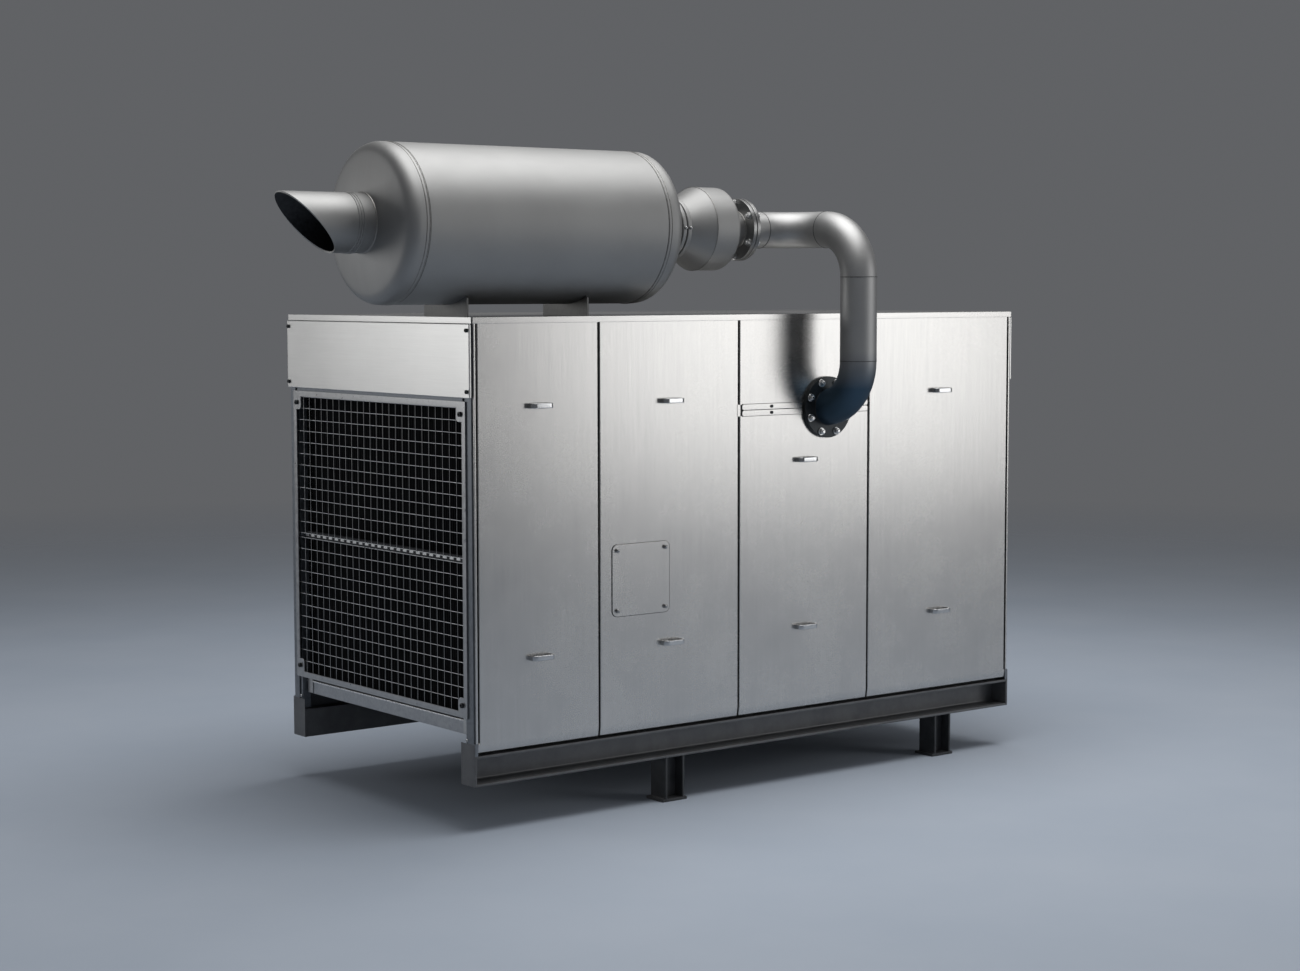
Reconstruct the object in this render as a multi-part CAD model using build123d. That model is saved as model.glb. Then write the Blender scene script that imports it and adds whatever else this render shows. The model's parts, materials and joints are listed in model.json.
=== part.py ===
from build123d import *
import math
import os

# Enclosed generator set: a panelled steel housing on a raised base frame,
# with a roof silencer and an exhaust pipe that comes out of the long side.
# Lengths are in millimetres. While it is built, X runs along the housing from
# its left end, Y runs back from the front panels and Z runs up from the
# underside of the panels. The finished set is then stood on the floor.

# Housing
housing_length = 2970.0
housing_width = 1430.0
housing_height = 1700.0
panel_thickness = 50.0
panel_gap = 8.0
panel_joint_1 = 606.0
panel_joint_2 = 1338.0
panel_joint_3 = 2079.0
bottom_fold = 38.0

# Corner posts and mullions
post_strip = 15.0
post_groove = 8.0
post_leg = 45.0
post_flange = 50.0
post_depth = 20.0
post_clearance = 6.0
notch_width = 10.0
notch_depth = 6.0
mullion_width = 60.0
mullion_depth = 20.0

# Roof sheet
roof_thickness = 10.0
lip_height = 25.0
lip_thickness = 3.0
lip_slit = 5.0

# Base frame
beam_height = 121.0
beam_depth = 97.0
beam_web = 8.0
beam_flange = 10.0
beam_end_plate = 8.0
beam_gap = 12.0
cross_beam_width = 80.0
cross_beam_height = 80.0
cross_beam_inset = 700.0
pan_inset = 520.0
pan_clearance = 2.0
pan_thickness = 6.0

# Feet
foot_left_inset = 994.0
foot_right_inset = 419.0
foot_height = 174.0
foot_section = 100.0
foot_flange = 10.0
foot_web = 6.0
foot_plate = 12.0
foot_plate_margin = 14.0

# End walls
end_panel_proud = 11.0
end_panel_margin = 5.0
end_panel_height = 287.0
end_panel_lip_gap = 1.0
header_lap = 18.0
header_rise = 13.0
frame_margin = 43.5
frame_width = 25.0
frame_thickness = 7.0
frame_bottom = 132.0
frame_gap = 13.0
tab_width = 62.0
tab_height = 80.0
tab_radius = 14.0
wire = 4.0
mesh_lap = 16.0
mesh_columns = 26
mesh_rows = 12
mesh_split = 17.0
mesh_foot_lap = 5.0
mid_rail_setback = 25.0
mid_rail_depth = 20.0
mid_rail_height = 30.0
end_rail_setback = 30.0
end_rail_depth = 40.0
end_rail_bottom = 58.0
end_rail_top = 115.0
core_thickness = 120.0
core_headroom = 50.0
core_side_gap = 2.0

# Handles
handle_length = 108.0
handle_reach = 36.0
handle_strap = 8.0
handle_height = 20.0
handle_bend = 22.0
handle_low = 353.0
handle_high = 1351.0
handle_split_high = 1076.0

# Service cover and joint strips
cover_offset = 63.0
cover_bottom = 480.0
cover_side = 294.0
cover_radius = 25.0
cover_thickness = 3.0
strip_height = 24.0
strip_thickness = 3.0
strip_gap = 2.0
strip_left_gap = 12.0
strip_right_gap = 5.0
strip_flange_gap = 2.0

# Exhaust pipe
pipe_outside = 156.0
pipe_wall = 3.0
elbow_radius = 203.0
elbow_tangent = 8.0
pipe_offset = 490.0
flange_height = 1297.0
flange_outside = 265.0
flange_thickness = 18.0
flange_stub = 100.0
raised_face = 3.0
raised_face_outside = 205.0
spigot_length = 72.0
wall_hole_clearance = 6.0

# Expansion chamber
chamber_outside = 350.0
chamber_wall = 4.0
chamber_cone = 100.0
chamber_barrel = 110.0
chamber_knuckle = 20.0
chamber_neck = 101.0
sleeve_outside = 236.0
sleeve_wall = 4.0
sleeve_length = 148.0
clamp_outside = 256.0
clamp_width = 46.0
clamp_setback = 1.0

# Silencer
silencer_outside = 624.0
silencer_wall = 4.0
silencer_lift = 47.0
silencer_barrel = 1137.0
head_skirt = 35.0
head_knuckle = 55.0
head_crown_radius = 1300.0
head_wall = 5.0
spout_outside = 230.0
spout_wall = 4.0
spout_top = 350.0
spout_bottom = 132.0
spout_ring_outside = 236.0
spout_ring_width = 30.0
spout_ring_setback = 42.0

# Saddles
saddle_width = 306.0
saddle_thickness = 8.0
saddle_chamfer = 14.0
saddle_clearance = 0.3
saddle_left = 20.0
saddle_right = 596.0

# One overrun serves all cuts
overrun = 20.0


def block(x0, x1, y0, y1, z0, z1):
    middle = ((x0 + x1) / 2, (y0 + y1) / 2, (z0 + z1) / 2)
    return Pos(*middle) * Box(x1 - x0, y1 - y0, z1 - z0)


def to_rear(shape):
    return mirror(shape, about=Plane.XZ.offset(-housing_width / 2))


def to_right(shape):
    return mirror(shape, about=Plane.YZ.offset(housing_length / 2))


def to_far_end(shape):
    # the end walls are alike, so the left one is turned half round to make the right one
    return Pos(housing_length, housing_width) * Rot(0, 0, 180) * shape


def pair(piece, across):
    return [piece, across(piece)]


def tube_x(x0, x1, outside, inside, y, z):
    ring = Circle(outside / 2) - Circle(inside / 2)
    return Plane((x0, y, z), x_dir=(0, 1, 0), z_dir=(1, 0, 0)) * extrude(ring, x1 - x0)


def disc_x(x0, x1, outside, y, z):
    return Plane((x0, y, z), x_dir=(0, 1, 0), z_dir=(1, 0, 0)) * extrude(Circle(outside / 2), x1 - x0)


def spin_x(outline, y, z):
    # an outline in X and radius, turned about the X axis through y and z
    return Pos(0, y, z) * revolve(Plane.XZ * make_face(outline), Axis.X)


# Places that several pieces share
left_x = 0.0
right_x = housing_length
front_y = 0.0
back_y = housing_width
panel_top = housing_height - roof_thickness
beam_top = -beam_gap
beam_bottom = beam_top - beam_height
foot_bottom = beam_bottom - foot_height
first_panel_x = post_strip + post_groove
mesh_left = frame_margin + frame_width - mesh_lap
post_back = post_flange + post_depth
foot_right_x = housing_length - foot_right_inset
end_panel_top = housing_height - lip_height - end_panel_lip_gap
end_panel_bottom = end_panel_top - end_panel_height
frame_top = end_panel_bottom - frame_gap
upper_mesh_top = frame_top - frame_width
lower_mesh_bottom = frame_bottom + frame_width - mesh_foot_lap
mesh_middle = (upper_mesh_top + lower_mesh_bottom) / 2

pipe_x = panel_joint_2 + pipe_offset
pipe_height = housing_height + silencer_lift + silencer_outside / 2
pipe_inside = pipe_outside - 2 * pipe_wall
riser_y = -elbow_radius
exhaust_y = elbow_radius + elbow_tangent
elbow_start_x = pipe_x - elbow_radius
flange_2_x = elbow_start_x - flange_stub
flange_1_x = flange_2_x - flange_thickness - raised_face
neck_x = flange_1_x - flange_thickness - chamber_neck
barrel_right_x = neck_x - chamber_knuckle
barrel_left_x = barrel_right_x - chamber_barrel
chamber_x = barrel_left_x - chamber_cone
inlet_head_x = chamber_x - sleeve_length
# a dished head: its crown and its knuckle touch on the line through both centres
knuckle_ring = silencer_outside / 2 - head_knuckle
crown_centre = head_skirt - ((head_crown_radius - head_knuckle) ** 2 - knuckle_ring ** 2) ** 0.5
crown_angle = math.degrees(math.atan2(knuckle_ring, head_skirt - crown_centre))
head_depth = crown_centre + head_crown_radius
silencer_right_x = inlet_head_x - head_depth
silencer_left_x = silencer_right_x - silencer_barrel
outlet_head_x = silencer_left_x - head_depth
sleeve_inside = sleeve_outside - 2 * sleeve_wall
spout_inside = spout_outside - 2 * spout_wall


# Base frame
def base_beam():
    web = block(left_x, right_x, beam_depth - beam_web, beam_depth, beam_bottom, beam_top)
    top = block(left_x, right_x, front_y, beam_depth, beam_top - beam_flange, beam_top)
    bottom = block(left_x, right_x, front_y, beam_depth, beam_bottom, beam_bottom + beam_flange)
    plate = block(left_x, beam_end_plate, front_y, beam_depth, beam_bottom, beam_top)
    return web + top + bottom + plate + to_right(plate)


def cross_beams():
    top = beam_top - beam_flange
    pieces = []
    for x in (cross_beam_inset, housing_length / 2, housing_length - cross_beam_inset):
        pieces.append(block(x - cross_beam_width / 2, x + cross_beam_width / 2, beam_depth,
                            housing_width - beam_depth, top - cross_beam_height, top))
    return pieces


def drip_pan():
    side = post_back + pan_clearance
    return block(pan_inset, housing_length - pan_inset, side, housing_width - side,
                 beam_top, beam_top + pan_thickness)


def foot(x):
    back = front_y + foot_section
    half = foot_section / 2
    left = block(x - half, x - half + foot_flange, front_y, back, foot_bottom, beam_bottom)
    right = block(x + half - foot_flange, x + half, front_y, back, foot_bottom, beam_bottom)
    web = block(x - half, x + half, (front_y + back - foot_web) / 2, (front_y + back + foot_web) / 2,
                foot_bottom, beam_bottom)
    plate = block(x - half - foot_plate_margin, x + half + foot_plate_margin, front_y,
                  back + foot_plate_margin, foot_bottom - foot_plate, foot_bottom)
    return left + right + web + plate


def feet():
    front = [foot(x) for x in (foot_left_inset, foot_right_x)]
    return front + [to_rear(piece) for piece in front]


# Posts and mullions
def corner_post():
    strip = block(left_x, post_strip, front_y, post_flange, beam_top, panel_top)
    leg = block(post_clearance, post_leg, post_flange, post_back, beam_top, panel_top)
    notch = block(left_x - overrun, notch_depth, front_y - overrun, notch_width, bottom_fold,
                  panel_top + overrun)
    return strip + leg - notch


def corner_posts():
    front = pair(corner_post(), to_right)
    return front + [to_rear(piece) for piece in front]


def mullions():
    pieces = []
    for x in (panel_joint_1, panel_joint_2, panel_joint_3):
        pieces.append(block(x - mullion_width / 2, x + mullion_width / 2, panel_thickness,
                            panel_thickness + mullion_depth, beam_top, panel_top))
    return pieces


# Panels
def panel(x0, x1, z0, z1):
    return block(x0, x1, front_y, panel_thickness, z0, z1)


panel_edges = (first_panel_x - panel_gap / 2, panel_joint_1, panel_joint_2, panel_joint_3,
               housing_length - first_panel_x + panel_gap / 2)


def panel_span(index):
    return panel_edges[index] + panel_gap / 2, panel_edges[index + 1] - panel_gap / 2


def end_panel(index, tongue):
    # the groove beside the corner strip stops at the bottom fold
    x0, x1 = panel_span(index)
    return panel(x0, x1, 0, panel_top) + tongue


left_tongue = block(post_strip, first_panel_x, front_y, panel_thickness, 0, bottom_fold)


def split_panel(z0, z1):
    x0, x1 = panel_span(2)
    hole_outside = pipe_outside + 2 * wall_hole_clearance
    hole = Plane((pipe_x, front_y - overrun, flange_height), z_dir=(0, 1, 0)) * extrude(
        Circle(hole_outside / 2), panel_thickness + 2 * overrun)
    return panel(x0, x1, z0, z1) - hole


def joint_strips():
    x0, x1 = panel_span(2)
    clear = Plane((pipe_x, front_y - overrun, flange_height), z_dir=(0, 1, 0)) * extrude(
        Circle(flange_outside / 2 + strip_flange_gap), 2 * overrun)
    pieces = []
    for z0 in (flange_height - strip_gap / 2 - strip_height, flange_height + strip_gap / 2):
        bar = block(x0 + strip_left_gap, x1 - strip_right_gap, front_y - strip_thickness, front_y,
                    z0, z0 + strip_height)
        pieces.extend((bar - clear).solids())
    return pieces


def service_cover():
    plate = extrude(RectangleRounded(cover_side, cover_side, cover_radius), cover_thickness)
    left = panel_joint_1 + cover_offset
    middle = (left + cover_side / 2, front_y, cover_bottom + cover_side / 2)
    return Plane(middle, x_dir=(1, 0, 0), z_dir=(0, -1, 0)) * plate


def handle(x, z):
    outer = Pos(0, handle_reach / 2) * Rectangle(handle_length, handle_reach)
    outer = fillet(outer.vertices().group_by(Axis.Y)[-1], handle_bend)
    inside_length = handle_length - 2 * handle_strap
    inside_reach = handle_reach - handle_strap
    inner = Pos(0, inside_reach / 2) * Rectangle(inside_length, inside_reach)
    inner = fillet(inner.vertices().group_by(Axis.Y)[-1], handle_bend - handle_strap)
    bow = extrude(outer - inner, handle_height)
    return Plane((x, front_y, z + handle_height / 2), x_dir=(1, 0, 0), z_dir=(0, 0, -1)) * bow


def handles(split):
    pieces = []
    for index in range(4):
        x0, x1 = panel_span(index)
        high = handle_split_high if split and index == 2 else handle_high
        for z in (handle_low, high):
            pieces.append(handle((x0 + x1) / 2, z))
    return pieces


# Roof
def roof():
    sheet = block(left_x, right_x, front_y, back_y, panel_top, housing_height)
    lip_bottom = housing_height - lip_height
    long_lip = block(left_x + lip_slit, right_x - lip_slit, front_y - lip_thickness, front_y,
                     lip_bottom, housing_height)
    end_lip = block(left_x - lip_thickness, left_x, front_y + lip_slit, back_y - lip_slit,
                    lip_bottom, housing_height)
    return sheet + long_lip + to_rear(long_lip) + end_lip + to_right(end_lip)


# End walls, made at the left end
def end_upper_panel():
    return block(left_x - end_panel_proud, left_x, end_panel_margin, housing_width - end_panel_margin,
                 end_panel_bottom, end_panel_top)


def end_header():
    return block(left_x, post_strip, post_back, housing_width - post_back,
                 frame_top - header_lap, end_panel_bottom + header_rise)


def end_rail():
    return block(end_rail_setback, end_rail_setback + end_rail_depth, post_back,
                 housing_width - post_back, end_rail_bottom, end_rail_top)


def mid_rail():
    return block(mid_rail_setback, mid_rail_setback + mid_rail_depth, post_back, housing_width - post_back,
                 mesh_middle - mid_rail_height / 2, mesh_middle + mid_rail_height / 2)


def cooling_core():
    face = end_rail_setback + end_rail_depth
    side = post_back + core_side_gap
    return block(face, face + core_thickness, side, housing_width - side, end_rail_bottom,
                 panel_top - core_headroom)


end_plane = Plane((left_x, housing_width / 2, 0), x_dir=(0, -1, 0), z_dir=(-1, 0, 0))


def grille_side_bar(across):
    # an upright bar of the frame, with its two bolting tabs
    width = housing_width - 2 * frame_margin
    height = frame_top - frame_bottom
    outline = Rectangle(width, height)
    bar = Pos(across * (width - frame_width) / 2, 0) * Rectangle(frame_width, height)
    for up in (-1, 1):
        tab = RectangleRounded(2 * tab_width, 2 * tab_height, tab_radius)
        bar += outline & Pos(across * width / 2, up * height / 2) * tab
    return end_plane * Pos(0, (frame_top + frame_bottom) / 2) * extrude(bar, frame_thickness)


def grille_level_bar(z0):
    # a level bar of the frame, between the tabs
    length = housing_width - 2 * frame_margin - 2 * tab_width
    bar = extrude(Rectangle(length, frame_width), frame_thickness)
    return end_plane * Pos(0, z0 + frame_width / 2) * bar


def grille_side_bars():
    left = [grille_side_bar(across) for across in (-1, 1)]
    return left + [to_far_end(piece) for piece in left]


def mesh(z0, z1):
    width = housing_width - 2 * mesh_left
    inside = housing_width - 2 * (frame_margin + frame_width)
    column = inside / mesh_columns
    row = (z1 - z0 - wire) / mesh_rows
    cell = Rectangle(column - wire, row - wire).wire()
    cells = [place * cell for place in GridLocations(column, row, mesh_columns, mesh_rows)]
    sheet = Face(Rectangle(width, z1 - z0).wire(), cells)
    return end_plane * Pos(0, (z0 + z1) / 2) * extrude(sheet, -wire)


# Exhaust
def elbow(corner, x_dir, z_dir):
    # a quarter bend: the ring lies at the start and turns about the far side of its bend
    ring = Pos(elbow_radius, 0) * (Circle(pipe_outside / 2) - Circle(pipe_inside / 2))
    bend = revolve(Plane.XZ * ring, Axis.Z, 90)
    return Plane(corner, x_dir=x_dir, z_dir=z_dir) * bend


def roof_elbow():
    # turns from the silencer's axis towards the front
    bend = elbow((elbow_start_x, exhaust_y - elbow_radius, pipe_height), (0, 1, 0), (0, 0, -1))
    ring = Circle(pipe_outside / 2) - Circle(pipe_inside / 2)
    tangent = Plane((pipe_x, exhaust_y - elbow_radius, pipe_height), z_dir=(0, -1, 0)) * extrude(
        ring, elbow_tangent)
    return bend + tangent


def top_elbow():
    # turns down over the front edge of the roof
    return elbow((pipe_x, 0, pipe_height - elbow_radius), (0, 0, 1), (1, 0, 0))


def riser():
    ring = Circle(pipe_outside / 2) - Circle(pipe_inside / 2)
    bottom = flange_height + elbow_radius
    top = pipe_height - elbow_radius
    return Plane((pipe_x, riser_y, bottom)) * extrude(ring, top - bottom)


def wall_elbow():
    # turns into the front wall and ends in a spigot inside the housing
    bend = elbow((pipe_x, 0, flange_height + elbow_radius), (0, -1, 0), (1, 0, 0))
    ring = Circle(pipe_outside / 2) - Circle(pipe_inside / 2)
    spigot = Plane((pipe_x, 0, flange_height), z_dir=(0, 1, 0)) * extrude(ring, spigot_length)
    return bend + spigot


def wall_flange():
    ring = Circle(flange_outside / 2) - Circle(pipe_outside / 2)
    return Plane((pipe_x, 0, flange_height), z_dir=(0, -1, 0)) * extrude(ring, flange_thickness)


def flange_pair():
    first = tube_x(flange_1_x - flange_thickness, flange_1_x, flange_outside, pipe_inside,
                   exhaust_y, pipe_height)
    second = tube_x(flange_2_x - flange_thickness, flange_2_x, flange_outside, pipe_inside,
                    exhaust_y, pipe_height)
    face = tube_x(flange_1_x, flange_1_x + raised_face, raised_face_outside, pipe_inside,
                  exhaust_y, pipe_height)
    return first, second + face


def pipe_stub():
    return tube_x(flange_2_x, elbow_start_x, pipe_outside, pipe_inside, exhaust_y, pipe_height)


def chamber_body(wall):
    # outline of the expansion chamber, drawn in by wall: cone, barrel, rounded end and neck
    start = sleeve_outside / 2 - wall
    barrel = chamber_outside / 2 - wall
    neck = pipe_outside / 2 - min(wall, pipe_wall)
    knuckle = chamber_knuckle - wall
    face_x = barrel_right_x + knuckle
    end_x = flange_1_x - flange_thickness
    cone = Polyline((chamber_x, 0), (chamber_x, start), (barrel_left_x, barrel), (barrel_right_x, barrel))
    turn = CenterArc((barrel_right_x, barrel - knuckle), knuckle, 0, 90)
    last = Polyline((face_x, barrel - knuckle), (face_x, neck), (end_x, neck), (end_x, 0), (chamber_x, 0))
    return spin_x(cone + turn + last, exhaust_y, pipe_height)


def expansion_chamber():
    return chamber_body(0) - chamber_body(chamber_wall)


def inlet_sleeve():
    tube = tube_x(silencer_right_x, chamber_x, sleeve_outside, sleeve_inside, exhaust_y, pipe_height)
    clamp_end = chamber_x - clamp_setback
    clamp = tube_x(clamp_end - clamp_width, clamp_end, clamp_outside, sleeve_inside,
                   exhaust_y, pipe_height)
    return tube - at_inlet(head_body(0)) + clamp


def silencer_shell():
    inside = silencer_outside - 2 * silencer_wall
    return tube_x(silencer_left_x, silencer_right_x, silencer_outside, inside, exhaust_y, pipe_height)


def head_body(wall):
    # one dished head with its skirt at x = 0, drawn in by wall
    skirt = silencer_outside / 2 - wall
    side = Polyline((0, 0), (0, skirt), (head_skirt, skirt))
    turn = CenterArc((head_skirt, knuckle_ring), head_knuckle - wall, crown_angle, 90 - crown_angle)
    crown = CenterArc((crown_centre, 0), head_crown_radius - wall, 0, crown_angle)
    axis = Line((head_depth - wall, 0), (0, 0))
    return spin_x(side + turn + crown + axis, 0, 0)


def head(hole_outside):
    hole = disc_x(0, head_depth + overrun, hole_outside, 0, 0)
    return head_body(0) - head_body(head_wall) - hole


def at_inlet(shape):
    return Pos(silencer_right_x, exhaust_y, pipe_height) * shape


def at_outlet(shape):
    return Pos(silencer_left_x, exhaust_y, pipe_height) * mirror(shape, about=Plane.YZ)


def outlet_spout():
    # the mouth is cut on the slant, with the longer side on top
    tip_x = outlet_head_x - spout_top
    heel_x = outlet_head_x - spout_bottom
    tube = tube_x(tip_x, silencer_left_x, spout_outside, spout_inside, exhaust_y, pipe_height)
    ring_x = outlet_head_x - spout_ring_setback
    ring = tube_x(ring_x - spout_ring_width, ring_x, spout_ring_outside, spout_inside,
                  exhaust_y, pipe_height)
    half = spout_outside / 2
    slant = Polyline((tip_x, pipe_height + half), (heel_x, pipe_height - half),
                     (tip_x, pipe_height - half), (tip_x, pipe_height + half))
    waste = Pos(0, exhaust_y, 0) * extrude(Plane.XZ * make_face(slant), half + overrun, both=True)
    return tube - at_outlet(head_body(0)) - waste + ring


def saddle(x):
    half = saddle_width / 2
    radius = silencer_outside / 2
    top = pipe_height - (radius ** 2 - half ** 2) ** 0.5
    plate = block(x - saddle_thickness / 2, x + saddle_thickness / 2, exhaust_y - half,
                  exhaust_y + half, housing_height, top)
    corners = plate.edges().filter_by(Axis.X).group_by(Axis.Z)[-1]
    plate = chamfer(corners, saddle_chamfer)
    seat = disc_x(x - saddle_thickness, x + saddle_thickness, silencer_outside + 2 * saddle_clearance,
                  exhaust_y, pipe_height)
    return plate - seat


# Every piece by its node
parts = {
    "base_beam_front": base_beam(),
    "base_beam_rear": to_rear(base_beam()),
    "base_cross_beams": cross_beams(),
    "feet": feet(),
    "corner_posts": corner_posts(),
    "drip_pan": drip_pan(),
    "roof": roof(),
    "front_panel_1": end_panel(0, left_tongue),
    "front_panel_2": panel(*panel_span(1), 0, panel_top),
    "front_panel_3_lower": split_panel(0, flange_height),
    "front_panel_3_upper": split_panel(flange_height, panel_top),
    "front_panel_4": end_panel(3, to_right(left_tongue)),
    "rear_panel_1": to_rear(end_panel(0, left_tongue)),
    "rear_panel_2": to_rear(panel(*panel_span(1), 0, panel_top)),
    "rear_panel_3": to_rear(panel(*panel_span(2), 0, panel_top)),
    "rear_panel_4": to_rear(end_panel(3, to_right(left_tongue))),
    "handles_front": handles(True),
    "handles_rear": [to_rear(piece) for piece in handles(False)],
    "service_cover": service_cover(),
    "joint_strips": joint_strips(),
    "mullions": mullions() + [to_rear(piece) for piece in mullions()],
    "end_headers": pair(end_header(), to_far_end),
    "end_rails": pair(end_rail(), to_far_end),
    "grille_mid_rails": pair(mid_rail(), to_far_end),
    "grille_side_bars": grille_side_bars(),
    "grille_top_bars": pair(grille_level_bar(frame_top - frame_width), to_far_end),
    "grille_bottom_bars": pair(grille_level_bar(frame_bottom), to_far_end),
    "silencer_shell": silencer_shell(),
    "silencer_inlet_head": at_inlet(head(sleeve_inside)),
    "silencer_outlet_head": at_outlet(head(spout_inside)),
    "outlet_spout": outlet_spout(),
    "saddles": [saddle(saddle_left), saddle(saddle_right)],
    "inlet_sleeve": inlet_sleeve(),
    "expansion_chamber": expansion_chamber(),
    "coupling_flange_chamber": flange_pair()[0],
    "coupling_flange_pipe": flange_pair()[1],
    "exhaust_stub": pipe_stub(),
    "exhaust_roof_elbow": roof_elbow(),
    "exhaust_top_elbow": top_elbow(),
    "exhaust_riser": riser(),
    "exhaust_wall_elbow": wall_elbow(),
    "wall_flange": wall_flange(),
}

for side, turn in (("left", lambda piece: piece), ("right", to_far_end)):
    parts["end_upper_panel_" + side] = turn(end_upper_panel())
    parts["grille_mesh_upper_" + side] = turn(mesh(mesh_middle + mesh_split / 2, upper_mesh_top))
    parts["grille_mesh_lower_" + side] = turn(mesh(lower_mesh_bottom, mesh_middle - mesh_split / 2))
    parts["cooling_core_" + side] = turn(cooling_core())


# Stand the set on the floor, with the origin under the middle of its box
def solids_of(piece):
    pieces = piece if isinstance(piece, (list, tuple)) else [piece]
    return [solid for one in pieces for solid in one.solids()]


everything = Compound(children=[solid for piece in parts.values() for solid in solids_of(piece)])
box = everything.bounding_box()
stand = Pos(-(box.min.X + box.max.X) / 2, -(box.min.Y + box.max.Y) / 2, -box.min.Z)

os.makedirs("parts", exist_ok=True)
for name, piece in parts.items():
    placed = [stand * solid for solid in solids_of(piece)]
    shape = placed[0] if len(placed) == 1 else Compound(children=placed)
    export_step(shape, f"parts/{name}.step")

print("nodes", len(parts))
print("box", box.min, box.max)
print("stand", stand.position)
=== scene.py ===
import bpy
import bmesh
import json
import math
from mathutils import Matrix, Vector

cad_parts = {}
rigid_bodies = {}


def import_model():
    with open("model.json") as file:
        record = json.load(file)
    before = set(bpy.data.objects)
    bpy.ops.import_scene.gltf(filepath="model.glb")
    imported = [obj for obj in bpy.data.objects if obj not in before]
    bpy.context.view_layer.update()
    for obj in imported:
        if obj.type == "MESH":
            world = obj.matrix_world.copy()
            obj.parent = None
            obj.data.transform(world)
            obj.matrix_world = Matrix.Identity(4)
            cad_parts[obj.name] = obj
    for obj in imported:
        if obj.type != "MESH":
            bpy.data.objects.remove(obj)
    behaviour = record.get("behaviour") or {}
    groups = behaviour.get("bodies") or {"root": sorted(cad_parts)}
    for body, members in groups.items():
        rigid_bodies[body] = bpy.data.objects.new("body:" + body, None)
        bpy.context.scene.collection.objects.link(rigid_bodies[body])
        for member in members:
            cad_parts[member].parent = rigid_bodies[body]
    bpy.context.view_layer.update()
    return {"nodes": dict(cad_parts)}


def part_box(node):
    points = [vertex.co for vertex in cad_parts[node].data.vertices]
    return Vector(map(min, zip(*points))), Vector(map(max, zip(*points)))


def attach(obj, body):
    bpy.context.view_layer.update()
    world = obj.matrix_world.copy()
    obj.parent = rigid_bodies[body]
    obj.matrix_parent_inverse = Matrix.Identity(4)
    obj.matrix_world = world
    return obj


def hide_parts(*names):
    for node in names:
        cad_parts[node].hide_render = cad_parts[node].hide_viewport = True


# an empty scene first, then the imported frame
bpy.ops.object.select_all(action="SELECT")
bpy.ops.object.delete()
bpy.context.scene.view_settings.view_transform = "Standard"
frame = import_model()
print("frame loaded:", len(frame["nodes"]), "nodes")

# places shared by several pieces
postLow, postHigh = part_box("corner_posts")
beamLow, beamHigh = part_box("base_beam_front")
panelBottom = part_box("front_panel_2")[0].z
shellLow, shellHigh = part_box("silencer_shell")
exhaustY = (shellLow.y + shellHigh.y) / 2
exhaustZ = (shellLow.z + shellHigh.z) / 2
flangeLow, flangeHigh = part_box("wall_flange")
flangeRadius = (flangeHigh.x - flangeLow.x) / 2
pipeX = (flangeLow.x + flangeHigh.x) / 2
flangeZ = (flangeLow.z + flangeHigh.z) / 2
otherEnd = Matrix.Translation((postLow.x + postHigh.x, postLow.y + postHigh.y, 0))
halfTurn = otherEnd @ Matrix.Rotation(math.pi, 4, "Z")
quarter = math.pi / 2
same = 0.0001  # lengths closer than this are taken as equal
doubles = 0.00002  # points closer than this are merged
facingUp = 0.9  # the least upward share of a top face's normal
clearCorners = 50  # degrees: only clear corners are softened, not the facets of round pieces
ringSteps, beadSteps = 72, 8  # facets round a turned piece, and round a bead


# small helpers for working as by hand
def meets(a, b):
    return abs(a - b) < same


def deselect():
    bpy.ops.object.select_all(action="DESELECT")


def pick(piece):
    deselect()
    piece.select_set(True)
    bpy.context.view_layer.objects.active = piece


def named(piece, name):
    piece.name = name
    piece.data.name = name
    return piece


def settled():
    # moves the new piece's place into its mesh
    piece = bpy.context.object
    pick(piece)
    bpy.ops.object.transform_apply(location=True, rotation=True, scale=True)
    return piece


def remove(piece):
    bpy.data.objects.remove(piece)


def openEdit(piece, kind="VERT"):
    pick(piece)
    bpy.ops.object.mode_set(mode="EDIT")
    bpy.ops.mesh.select_mode(type=kind)
    bpy.ops.mesh.select_all(action="DESELECT")


def closeEdit():
    bpy.ops.object.mode_set(mode="OBJECT")


def takeAll():
    bpy.ops.mesh.select_all(action="SELECT")


def pull(x, y, z):
    bpy.ops.mesh.extrude_region_move(TRANSFORM_OT_translate={"value": (x, y, z)})


def bendRound(centre, axis, angle, steps):
    bpy.ops.mesh.spin(steps=steps, angle=angle, center=centre, axis=axis)


def cutAcross(point, normal):
    takeAll()
    bpy.ops.mesh.bisect(plane_co=point, plane_no=normal)


def choose(piece, kind, test):
    # selects the verts, edges or faces for which the test holds
    mesh = bmesh.from_edit_mesh(piece.data)
    for part in getattr(mesh, kind):
        part.select_set(test(part))
    mesh.select_flush_mode()
    bmesh.update_edit_mesh(piece.data)


def useModifier(piece, kind, **values):
    pick(piece)
    modifier = piece.modifiers.new(kind.title(), kind)
    for key, value in values.items():
        setattr(modifier, key, value)
    bpy.ops.object.modifier_apply(modifier=modifier.name)
    return piece


def repeat(piece, count, offset):
    return useModifier(piece, "ARRAY", count=count, use_relative_offset=False, use_constant_offset=True,
                       constant_offset_displace=offset)


def smooth(piece, angle=35):
    pick(piece)
    bpy.ops.object.shade_smooth_by_angle(angle=math.radians(angle))
    return piece


def evenShade(piece):
    return useModifier(smooth(piece), "WEIGHTED_NORMAL", keep_sharp=True)


def soften(piece, width, segments=2, angle=40):
    useModifier(piece, "BEVEL", width=width, segments=segments, limit_method="ANGLE",
                angle_limit=math.radians(angle))
    return evenShade(piece)


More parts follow.
